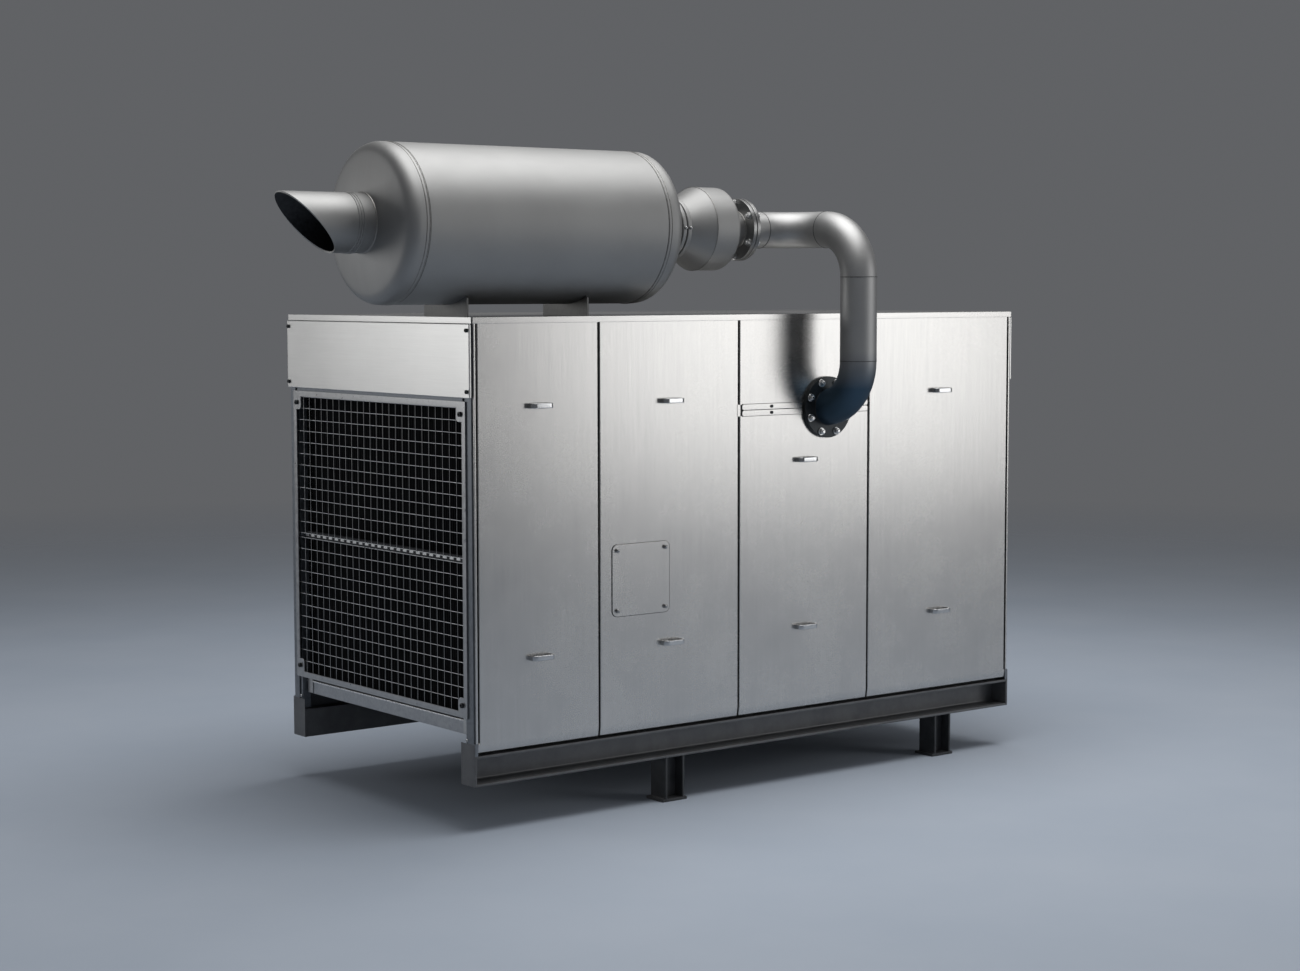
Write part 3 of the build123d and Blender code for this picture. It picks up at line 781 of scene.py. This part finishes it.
# end walls: closing panel, grille frame, wire mesh, bright rail dashes and fins
ends = {"left": -1, "right": 1}
closing = {"edge": 0.003, "bolt": (0.016, 0.007), "boltSide": 0.015, "boltEnd": 0.025}
seats = []
for side, outward in ends.items():
    low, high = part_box("end_upper_panel_" + side)
    # the closing plates take the paler satin: painted light
    plate = softBlock(low, high, closing["edge"], 3)
    done("closing_" + side, [plate], litSatin, "panel_steel", "end_upper_panel_" + side)
    seats += cornerSeats(low.x if outward < 0 else high.x, outward, low, high, closing)
boltSet("closingBolts", socketScrew(*closing["bolt"]), seats, flangeSteel, "flange_steel")

grille = {"bar": 0.025, "tabWide": 0.062, "tabTall": 0.080, "tabRound": 0.014, "roundSteps": 5,
          "edge": 0.0012, "bolt": (0.020, 0.008), "boltSide": 0.032, "boltEnd": 0.050}


def grilleFrame(low, high):
    # a sheet cut into strips, its middle taken out, then given its thickness
    def depthIn(point):
        return min(point.y - low.y, high.y - point.y), min(point.z - low.z, high.z - point.z)

    def inOpening(face):
        fromSide, fromEnd = depthIn(face.calc_center_median())
        onTab = fromSide < grille["tabWide"] and fromEnd < grille["tabTall"]
        return min(fromSide, fromEnd) >= grille["bar"] and not onTab

    def tabCorner(a, b):
        fromSide, fromEnd = depthIn(a)
        lengthwise = meets(a.y, b.y) and meets(a.z, b.z)
        return lengthwise and meets(fromSide, grille["tabWide"]) and meets(fromEnd, grille["tabTall"])

    centre = (low.x, (low.y + high.y) / 2, (low.z + high.z) / 2)
    piece = flatSheet(centre, (0, -quarter, 0), high.z - low.z, high.y - low.y)
    openEdit(piece)
    for step in (grille["bar"], grille["tabWide"]):
        for y in (low.y + step, high.y - step):
            cutAcross((low.x, y, 0), (0, 1, 0))
    for step in (grille["bar"], grille["tabTall"]):
        for z in (low.z + step, high.z - step):
            cutAcross((low.x, 0, z), (0, 0, 1))
    bpy.ops.mesh.select_mode(type="FACE")
    choose(piece, "faces", inOpening)
    bpy.ops.mesh.delete(type="FACE")
    takeAll()
    bpy.ops.mesh.normals_make_consistent(inside=False)
    pull(postLow.x - low.x, 0, 0)
    closeEdit()
    cleanShell(piece)
    roundEdges(piece, tabCorner, grille["tabRound"], grille["roundSteps"])
    return soften(piece, grille["edge"], 2, clearCorners)


low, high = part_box("grille_side_bars")
done("grilleFrames", bothEnds([grilleFrame(low, high)]), barZinc, "grille_steel",
     "grille_side_bars", "grille_top_bars", "grille_bottom_bars")
seats = cornerSeats(low.x, -1, low, high, grille) + cornerSeats(high.x, 1, low, high, grille)
boltSet("grilleBolts", socketScrew(*grille["bolt"]), seats, flangeSteel, "flange_steel")

wires = {"wire": 0.0025, "columns": 25, "rows": 13, "sides": 10, "margin": 0.0685, "sink": 0.0003,
         "clear": 0.0002, "shade": 50}
wireFirst = postLow.y + wires["margin"]
wirePitch = (postHigh.y - wires["margin"] - wireFirst) / (wires["columns"] + 1)


def wireRow(start, end, count, offset, finish):
    # one round wire from start to end, repeated along offset
    wire = smooth(rodBetween(start, end, wires["wire"] / 2, wires["sides"]), wires["shade"])
    wire.data.materials.append(finish)
    return repeat(wire, count, offset)


def wireMesh(name, node, outward):
    low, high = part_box(node)
    radius = wires["wire"] / 2
    uprightX = (low.x if outward < 0 else high.x) - outward * (radius + wires["clear"])
    levelX = uprightX - outward * (2 * radius - wires["sink"])
    y, z = wireFirst + wirePitch, low.z + radius
    pitchZ = (high.z - low.z - wires["wire"]) / (wires["rows"] - 1)
    # the upright wires take the darker machined finish and the level wires the bright zinc: painted shade on
    # the uprights, painted light on the level wires
    uprights = wireRow((uprightX, y, low.z), (uprightX, y, high.z), wires["columns"], (0, wirePitch, 0),
                       machinedSteel)
    levels = wireRow((levelX, low.y, z), (levelX, high.y, z), wires["rows"], (0, 0, pitchZ), litWireZinc)
    done(name, [uprights, levels], litWireZinc, "grille_steel", node)


for side, outward in ends.items():
    for row in ("upper", "lower"):
        wireMesh("wires_" + row + "_" + side, "grille_mesh_" + row + "_" + side, outward)

# bright dashes on the mid rail, one in each cell of the mesh: a painted highlight along the rail
railDash = {"wide": 0.027, "tall": 0.011, "thick": 0.002, "edge": 0.0006, "firstCell": 1.5}
low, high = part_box("grille_mid_rails")
middle = (low.z + high.z) / 2
firstY = wireFirst + railDash["firstCell"] * wirePitch
railDashes = softBlock((low.x - railDash["thick"], firstY - railDash["wide"] / 2, middle - railDash["tall"] / 2),
                  (low.x, firstY + railDash["wide"] / 2, middle + railDash["tall"] / 2), railDash["edge"], 1)
repeat(railDashes, wires["columns"], (0, wirePitch, 0))
done("railHighlightDashes", bothEnds([railDashes]), railHighlight, "grille_steel")

fins = {"thick": 0.0016, "deep": 0.010, "pitch": 0.0165, "margin": 0.004, "edge": 0.0004}
for side, outward in ends.items():
    low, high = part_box("cooling_core_" + side)
    faceX = low.x if outward < 0 else high.x
    inner, outer = sorted((faceX, faceX + outward * fins["deep"]))
    y = low.y + fins["margin"]
    fin = softBlock((inner, y, low.z), (outer, y + fins["thick"], high.z), fins["edge"], 1)
    count = int((high.y - low.y - 2 * fins["margin"]) / fins["pitch"]) + 1
    done("coreFins_" + side, [repeat(fin, count, (0, fins["pitch"], 0))], coreBlack, "core_black")
print("end walls done")


# base frame: channel beams with end plates
channel = {"web": 0.008, "flange": 0.010, "plate": 0.008, "root": 0.009, "rootSteps": 4, "edge": 0.0018,
           "plateEdge": 0.0012}


def channelBeam(name, node):
    low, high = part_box(node)
    outer, webOut, inward = (low.y, high.y, 1) if low.y < 0 else (high.y, low.y, -1)
    webIn = webOut - inward * channel["web"]
    z0, z1 = low.z + channel["flange"], high.z - channel["flange"]
    outline = [(outer, low.z), (outer, z0), (webIn, z0), (webIn, z1), (outer, z1), (outer, high.z),
               (webOut, high.z), (webOut, low.z), (outer, low.z)]
    x0, x1 = low.x + channel["plate"], high.x - channel["plate"]
    beam = drawLine([(x0, *point) for point in outline])
    bpy.ops.mesh.remove_doubles(threshold=doubles)
    bpy.ops.mesh.edge_face_add()
    pull(x1 - x0, 0, 0)
    closeEdit()
    roundEdges(beam, lambda a, b: meets(a.y, webIn) and meets(b.y, webIn) and meets(a.z, b.z),
               channel["root"], channel["rootSteps"])
    soften(cleanShell(beam), channel["edge"], 2, clearCorners)
    plates = [softBlock((a, low.y, low.z), (b, high.y, high.z), channel["plateEdge"])
              for a, b in ((low.x, x0), (x1, high.x))]
    done(name, [beam] + plates, framePaint, "frame_paint", node)


channelBeam("channel_front", "base_beam_front")
channelBeam("channel_rear", "base_beam_rear")

# stub legs of H section on base plates, with fillet welds
leg = {"section": 0.100, "flange": 0.010, "web": 0.006, "plate": 0.012, "margin": 0.014, "edge": 0.0015,
       "bead": 0.006, "beadInset": 0.004, "beadRound": 0.4, "beadSides": 8, "beadCorners": 60,
       "leftInset": 0.994, "rightInset": 0.419}


def stubLeg(x, front):
    low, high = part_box("feet")
    half, flange, web, margin = leg["section"] / 2, leg["flange"], leg["web"] / 2, leg["margin"]
    y0, y1 = (low.y, low.y + leg["section"]) if front else (high.y - leg["section"], high.y)
    plateLow, plateHigh = (y0, y1 + margin) if front else (y0 - margin, y1)
    middle, z0, z1 = (y0 + y1) / 2, low.z + leg["plate"], high.z
    boxes = [((x - half, y0, z0), (x - half + flange, y1, z1)),
             ((x + half - flange, y0, z0), (x + half, y1, z1)),
             ((x - half + flange, middle - web, z0), (x + half - flange, middle + web, z1)),
             ((x - half - margin, plateLow, low.z), (x + half + margin, plateHigh, z0))]
    bars = [softBlock(*corners, leg["edge"]) for corners in boxes]
    for side in (x - half, x + half):
        for z in (z0, z1):
            bead = rodBetween((side, y0 + leg["beadInset"], z), (side, y1 - leg["beadInset"], z),
                              leg["bead"], leg["beadSides"])
            bars.append(soften(bead, leg["bead"] * leg["beadRound"], 2, leg["beadCorners"]))
    return bars


legs = []
for x in (postLow.x + leg["leftInset"], postHigh.x - leg["rightInset"]):
    legs += stubLeg(x, True) + stubLeg(x, False)
# the legs take the near-black paint: painted shade
done("stubLegs", legs, shadePaint, "frame_paint", "feet")

# lower cross rails with their brackets and top ledges, the ledges brighter than the rails: a painted
# highlight along their top edge
rail = {"edge": 0.002, "deep": 0.040, "bracket": (0.081, 0.120), "bracketLow": 0.003, "bracketHigh": 0.068,
        "bracketThick": 0.005, "bracketEdge": 0.001, "ledgeProud": 0.004, "ledgeTall": 0.007,
        "ledgeEdge": 0.0015}
low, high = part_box("end_rails")
beam = softBlock(low, (low.x + rail["deep"], high.y, high.z), rail["edge"])
done("bottomRails", bothEnds([beam]), railZinc, "post_steel", "end_rails")
near, far = rail["bracket"]
brackets = [softBlock((low.x - rail["bracketThick"], y0, low.z + rail["bracketLow"]),
                      (low.x, y1, low.z + rail["bracketHigh"]), rail["bracketEdge"])
            for y0, y1 in ((postLow.y + near, postLow.y + far), (postHigh.y - far, postHigh.y - near))]
done("railBrackets", bothEnds(brackets), machinedSteel, "post_steel")
ledge = softBlock((low.x - rail["ledgeProud"], low.y, high.z - rail["ledgeTall"]),
                  (low.x, high.y, high.z), rail["ledgeEdge"])
done("railLedgeHighlights", bothEnds([ledge]), zincBolt, "post_steel")

# sill bars inside the panels close the view over the beams, in near-black paint: painted shade
sill = {"tall": 0.080, "thick": 0.004, "inset": 0.046, "edge": 0.0008}
sills = []
for node in ("front_panel_2", "rear_panel_2"):
    low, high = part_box(node)
    y0, y1 = (high.y, high.y + sill["thick"]) if low.y < 0 else (low.y - sill["thick"], low.y)
    sills.append(softBlock((postLow.x + sill["inset"], y0, beamHigh.z),
                           (postHigh.x - sill["inset"], y1, panelBottom + sill["tall"]), sill["edge"], 1))
done("sillBars", sills, shadePaint, "frame_paint")
print("base frame done")


# silencer: rolled shell, dished heads, slash-cut spout
drum = {"wall": 0.004, "headWall": 0.005, "skirt": 0.035, "knuckle": 0.055, "crown": 1.300,
        "outletHole": 0.111, "inletHole": 0.114, "rounds": 8, "crownSteps": 10, "steps": 96}
drumRadius = (shellHigh.z - shellLow.z) / 2
shell = turnedRing(shellLow.x, shellHigh.x, drumRadius, drumRadius - drum["wall"], drum["steps"])
done("drumShell", [smooth(shell)], exhaustSteel, "exhaust_steel", "silencer_shell")


def dishLine(hole, inset):
    # skirt, knuckle and crown in distance from the open edge and radius, down to the hole
    skirt, knuckle, crown = drum["skirt"], drum["knuckle"], drum["crown"]
    ring = drumRadius - knuckle
    centre = skirt - math.sqrt((crown - knuckle) ** 2 - ring ** 2)
    meet = math.atan2(ring, skirt - centre)
    last = math.asin(hole / (crown - inset))
    line = [(0, drumRadius - inset)]
    for step in range(drum["rounds"] + 1):
        angle = quarter + (meet - quarter) * step / drum["rounds"]
        reach = knuckle - inset
        line.append((skirt + reach * math.cos(angle), ring + reach * math.sin(angle)))
    for step in range(1, drum["crownSteps"] + 1):
        angle = meet + (last - meet) * step / drum["crownSteps"]
        line.append((centre + (crown - inset) * math.cos(angle), (crown - inset) * math.sin(angle)))
    return line


def dishedHead(name, node, skirtX, outward, hole):
    outer, inner = dishLine(hole, 0), dishLine(hole, drum["headWall"])
    line = outer + inner[::-1] + outer[:1]
    head = turned([(skirtX + outward * x, r) for x, r in line], drum["steps"])
    done(name, [smooth(head)], exhaustSteel, "exhaust_steel", node)


dishedHead("headOutlet", "silencer_outlet_head", shellLow.x, -1, drum["outletHole"])
dishedHead("headInlet", "silencer_inlet_head", shellHigh.x, 1, drum["inletHole"])


def exhaustRing(x, radius, bead):
    return ringBead((x, exhaustY, exhaustZ), (1, 0, 0), radius, bead)


spout = {"outside": 0.115, "wall": 0.006, "heel": 0.218, "beads": (0.281, 0.292, 0.303), "bead": 0.003,
         "steps": 80, "insideShare": -0.9, "beadShade": 60}
low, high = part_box("outlet_spout")
tip, root = low.x, high.x
tube = turned([(tip, spout["outside"]), (root, spout["outside"])], spout["steps"])
openEdit(tube)
takeAll()
bpy.ops.mesh.bisect(plane_co=(tip, exhaustY, exhaustZ + spout["outside"]),
                    plane_no=(-2 * spout["outside"], 0, -spout["heel"]), clear_outer=True)
closeEdit()
useModifier(tube, "SOLIDIFY", thickness=spout["wall"], offset=-1)
tube.data.materials.append(exhaustSteel)
tube.data.materials.append(sootBlack)
for face in tube.data.polygons:
    outwards = Vector((0, face.center.y - exhaustY, face.center.z - exhaustZ)).normalized()
    face.material_index = 1 if face.normal.dot(outwards) < spout["insideShare"] else 0
beads = [exhaustRing(tip + x, spout["outside"], spout["bead"]) for x in spout["beads"]]
for piece in beads:
    smooth(piece, spout["beadShade"]).data.materials.append(exhaustSteel)
done("spout", [smooth(tube)] + beads, exhaustSteel, "exhaust_steel", "outlet_spout")
print("silencer done")


# inlet sleeve with two clamp bands, expansion chamber
sleeve = {"outside": 0.118, "wall": 0.004, "band": 0.128, "bands": ((-0.046, -0.027), (-0.021, 0.0)),
          "bandSink": 0.001, "bandEdge": 0.004, "rivet": (0.014, 0.006)}
low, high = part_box("inlet_sleeve")
sleeveLow = low.x
pipe = turnedRing(low.x, high.x, sleeve["outside"], sleeve["outside"] - sleeve["wall"])
bands, seats = [], []
for start, stop in sleeve["bands"]:
    band = turnedRing(high.x + start, high.x + stop, sleeve["band"], sleeve["outside"] - sleeve["bandSink"])
    bands.append(soften(band, sleeve["bandEdge"], 3, clearCorners))
    bandX = high.x + (start + stop) / 2
    seats += [((bandX, exhaustY + side * sleeve["band"], exhaustZ), (0, side, 0)) for side in (-1, 1)]
done("sleeve", [smooth(pipe)] + bands, exhaustSteel, "exhaust_steel", "inlet_sleeve")
boltSet("bandRivets", roundScrew(*sleeve["rivet"]), seats, screwSteel, "handle_steel")

chamber = {"wall": 0.004, "cone": 0.100, "barrel": 0.110, "knuckle": 0.020, "knuckleSteps": 7,
           "start": 0.118, "neck": 0.078, "shade": 25}
low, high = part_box("expansion_chamber")
barrel = (high.z - low.z) / 2
shoulderX = low.x + chamber["cone"]
faceX = shoulderX + chamber["barrel"] + chamber["knuckle"]


def onRim(point):
    return meets(point.x, faceX) and meets(math.hypot(point.y - exhaustY, point.z - exhaustZ), barrel)


body = turned([(low.x, chamber["start"]), (shoulderX, barrel), (faceX, barrel), (faceX, chamber["neck"]),
               (high.x, chamber["neck"])])
roundEdges(body, lambda a, b: onRim(a) and onRim(b), chamber["knuckle"], chamber["knuckleSteps"])
useModifier(body, "SOLIDIFY", thickness=chamber["wall"], offset=-1)
done("chamber", [smooth(body, chamber["shade"])], exhaustSteel, "exhaust_steel", "expansion_chamber")
print("sleeve and chamber done")


# flanges, gasket and bolts
flange = {"bore": 0.075, "wallBore": 0.0782, "edge": 0.0018, "boltCircle": 0.1125, "couplingBolts": 6,
          "wallBolts": 8, "bolt": (0.024, 0.010, 0.006), "gasket": 0.103, "gasketEdge": 0.0008,
          "raised": 0.003}


def onCircle(count, firstAngle):
    circle = flange["boltCircle"]
    angles = [firstAngle + 2 * math.pi * index / count for index in range(count)]
    return [(circle * math.sin(angle), circle * math.cos(angle)) for angle in angles]


def flangeBolts(name, seats):
    boltSet(name, hexBolt(*flange["bolt"]), seats, zincBolt, "handle_steel")


firstLow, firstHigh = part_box("coupling_flange_chamber")
secondLow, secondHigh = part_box("coupling_flange_pipe")
gasketEnd = firstHigh.x + flange["raised"]
outside = (firstHigh.z - firstLow.z) / 2
for node, x0, x1 in (("coupling_flange_chamber", firstLow.x, firstHigh.x),
                     ("coupling_flange_pipe", secondLow.x + flange["raised"], secondHigh.x)):
    ring = soften(turnedRing(x0, x1, outside, flange["bore"]), flange["edge"], 2, clearCorners)
    done(node + "_ring", [ring], couplingSteel, "flange_steel", node)
gasket = turnedRing(firstHigh.x, gasketEnd, flange["gasket"], flange["bore"])
done("flangeGasket", [soften(gasket, flange["gasketEdge"], 1, clearCorners)], gasketAndShadowBlack, "core_black")
seats = []
for y, z in onCircle(flange["couplingBolts"], 0):
    seats.append(((firstLow.x, exhaustY + y, exhaustZ + z), (-1, 0, 0)))
    seats.append(((secondHigh.x, exhaustY + y, exhaustZ + z), (1, 0, 0)))
flangeBolts("couplingBolts", seats)

plate = turnedRing(0, flangeHigh.y - flangeLow.y, flangeRadius, flange["wallBore"], y=0, z=0)
plate.data.transform(Matrix.Translation((pipeX, flangeHigh.y, flangeZ)) @ Matrix.Rotation(-quarter, 4, "Z"))
soften(plate, flange["edge"], 2, clearCorners)
done("wallRing", [plate], flangeSteel, "flange_steel", "wall_flange")
flangeBolts("wallBolts", [((pipeX + x, flangeLow.y, flangeZ + z), (0, -1, 0))
                          for x, z in onCircle(flange["wallBolts"], math.pi / flange["wallBolts"])])
print("flanges done")


# exhaust pipe: one tube drawn on through its three bends
bent = {"outside": 0.078, "wall": 0.003, "bend": 0.203, "sides": 48, "steps": 14, "shade": 40}
stubLow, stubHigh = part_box("exhaust_stub")
riserLow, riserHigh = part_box("exhaust_riser")
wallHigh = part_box("exhaust_wall_elbow")[1]
bend, steps, riserY = bent["bend"], bent["steps"], (riserLow.y + riserHigh.y) / 2
bendY = riserY + bend
deselect()
bpy.ops.mesh.primitive_circle_add(vertices=bent["sides"], radius=bent["outside"], fill_type="NOTHING",
                                  location=(stubLow.x, exhaustY, exhaustZ), rotation=(0, quarter, 0))
tube = settled()
openEdit(tube)
takeAll()
pull(stubHigh.x - stubLow.x, 0, 0)
bendRound((stubHigh.x, exhaustY - bend, exhaustZ), (0, 0, 1), quarter, steps)
pull(0, bendY - (exhaustY - bend), 0)
bendRound((pipeX, bendY, exhaustZ - bend), (1, 0, 0), -quarter, steps)
pull(0, 0, riserLow.z - riserHigh.z)
bendRound((pipeX, bendY, riserLow.z), (1, 0, 0), -quarter, steps)
pull(0, wallHigh.y - bendY, 0)
closeEdit()
cleanShell(tube)
useModifier(tube, "SOLIDIFY", thickness=bent["wall"], offset=-1)
done("bentPipe", [smooth(tube, bent["shade"])], pipeSteel, "exhaust_steel", "exhaust_stub",
     "exhaust_roof_elbow", "exhaust_top_elbow", "exhaust_riser", "exhaust_wall_elbow")

# weld beads and fine seams round every joint of the exhaust
weld = {"fine": 0.0018, "broad": 0.004, "second": 0.013, "seam": 0.0014, "seamSink": 0.0007,
        "seamGap": 0.004, "rib": 0.0014, "ribs": (0.012, 0.022, 0.032)}
headWelds = (shellLow.x, shellLow.x - weld["second"], shellHigh.x, shellHigh.x + weld["second"])
welds = [exhaustRing(x, drumRadius, weld["fine"]) for x in headWelds]
welds.append(exhaustRing(shoulderX, barrel, weld["fine"]))
for x, outside in ((root, spout["outside"]), (sleeveLow, sleeve["outside"]), (faceX, chamber["neck"]),
                   (firstLow.x, bent["outside"]), (stubLow.x, bent["outside"])):
    welds.append(exhaustRing(x, outside, weld["broad"]))
done("exhaustWelds", welds, weldSteel, "exhaust_steel")
# the dark seam rings are painted shadow lines in the joints
seams = [exhaustRing(x, drumRadius - weld["seamSink"], weld["seam"])
         for x in (shellLow.x + weld["seamGap"], shellHigh.x - weld["seamGap"])]
joints = [((stubLow.x + x, exhaustY, exhaustZ), (1, 0, 0)) for x in weld["ribs"]]
joints += [((stubHigh.x, exhaustY, exhaustZ), (1, 0, 0)), ((pipeX, bendY, exhaustZ), (0, 1, 0)),
           ((pipeX, riserY, riserHigh.z), (0, 0, 1)), ((pipeX, riserY, riserLow.z), (0, 0, 1)),
           ((pipeX, flangeLow.y, flangeZ), (0, 1, 0))]
seams += [ringBead(point, axis, bent["outside"], weld["rib"]) for point, axis in joints]
done("exhaustSeams", seams, seamDark, "exhaust_steel")
print("exhaust pipe done")


# the plain nodes that keep their own shape
giveFinish(postZinc, "mullions", "end_headers")
giveFinish(shadedZinc, "grille_mid_rails")
giveFinish(framePaint, "base_cross_beams", "drip_pan")
giveFinish(saddleZinc, "saddles")
giveFinish(coreBlack, "cooling_core_left", "cooling_core_right")
print("kept nodes finished")


# stage, light and camera
studio = {"floorDark": (0.435, 0.495, 0.58), "floorLight": (0.475, 0.53, 0.61), "floorRough": 0.75,
          "cloud": (0.8, 4.0, 0.6), "cloudSpan": (0.3, 0.7), "floorRadius": 16.0, "floorSides": 96,
          "fadeFrom": 5.0, "fadeTo": 14.0, "world": (0.33, 0.34, 0.36), "worldStrength": 0.36}
deselect()
bpy.ops.mesh.primitive_circle_add(vertices=studio["floorSides"], radius=studio["floorRadius"],
                                  fill_type="NGON")
floor = named(bpy.context.object, "studioFloor")
floorFinish, tree, shader = newFinish("pale floor", studio["floorLight"], 0.0, studio["floorRough"])
cloud = ranged(tree, noise(tree, objectCoords(tree), *studio["cloud"]), 0.0, 1.0, *studio["cloudSpan"])
tint = mixColours(tree, cloud, studio["floorDark"], studio["floorLight"])
feed(tree, shader.inputs["Base Color"], tint)
# the floor fades into the plain backdrop far from the set
reach = addNode(tree, "VectorMath", {0: objectCoords(tree)}, operation="LENGTH").outputs["Value"]
away = ranged(tree, reach, 0.0, 1.0, studio["fadeFrom"], studio["fadeTo"])
clear = addNode(tree, "BsdfTransparent", {}).outputs["BSDF"]
fade = addNode(tree, "MixShader", {"Fac": away, 1: shader.outputs["BSDF"], 2: clear}).outputs["Shader"]
feed(tree, tree.nodes["Material Output"].inputs["Surface"], fade)
floor.data.materials.append(floorFinish)

world = bpy.data.worlds.new("studio")
bpy.context.scene.world = world
world.use_nodes = True
backdrop = world.node_tree.nodes["Background"]
feed(world.node_tree, backdrop.inputs["Color"], studio["world"])
feed(world.node_tree, backdrop.inputs["Strength"], studio["worldStrength"])

lamps = {"frontRight": {"place": (7.0, -7.9, 2.75), "size": (4.5, 4.6), "power": 150},
         "leftBack": {"place": (-7.4, 5.8, 2.7), "size": (5.0, 3.4), "power": 115},
         "overhead": {"place": (0.6, -0.8, 7.0), "size": (6.0, 5.0), "power": 380}}
lampAim = Vector((0.3, 0.0, 1.2))
for name, values in lamps.items():
    data = bpy.data.lights.new(name, "AREA")
    data.shape = "RECTANGLE"
    data.size, data.size_y = values["size"]
    data.energy = values["power"]
    lamp = bpy.data.objects.new(name, data)
    bpy.context.collection.objects.link(lamp)
    lamp.location = values["place"]
    lamp.rotation_euler = (lampAim - Vector(values["place"])).to_track_quat("-Z", "Y").to_euler()
    lamp.visible_camera = False

lens = {"place": (-6.15804, -8.19896, 2.13025), "yaw": 37.747, "pitch": 4.784, "roll": -0.0995,
        "length": 65.404, "sensor": 36.0}
cameraData = bpy.data.cameras.new("camera")
cameraData.sensor_fit = "HORIZONTAL"
cameraData.sensor_width = lens["sensor"]
cameraData.lens = lens["length"]
camera = bpy.data.objects.new("camera", cameraData)
bpy.context.collection.objects.link(camera)
turns = [Matrix.Rotation(math.radians(angle), 4, axis)
         for angle, axis in ((-lens["yaw"], "Z"), (90 - lens["pitch"], "X"), (lens["roll"], "Z"))]
camera.matrix_world = Matrix.Translation(lens["place"]) @ turns[0] @ turns[1] @ turns[2]
bpy.context.scene.camera = camera
print("studio done")
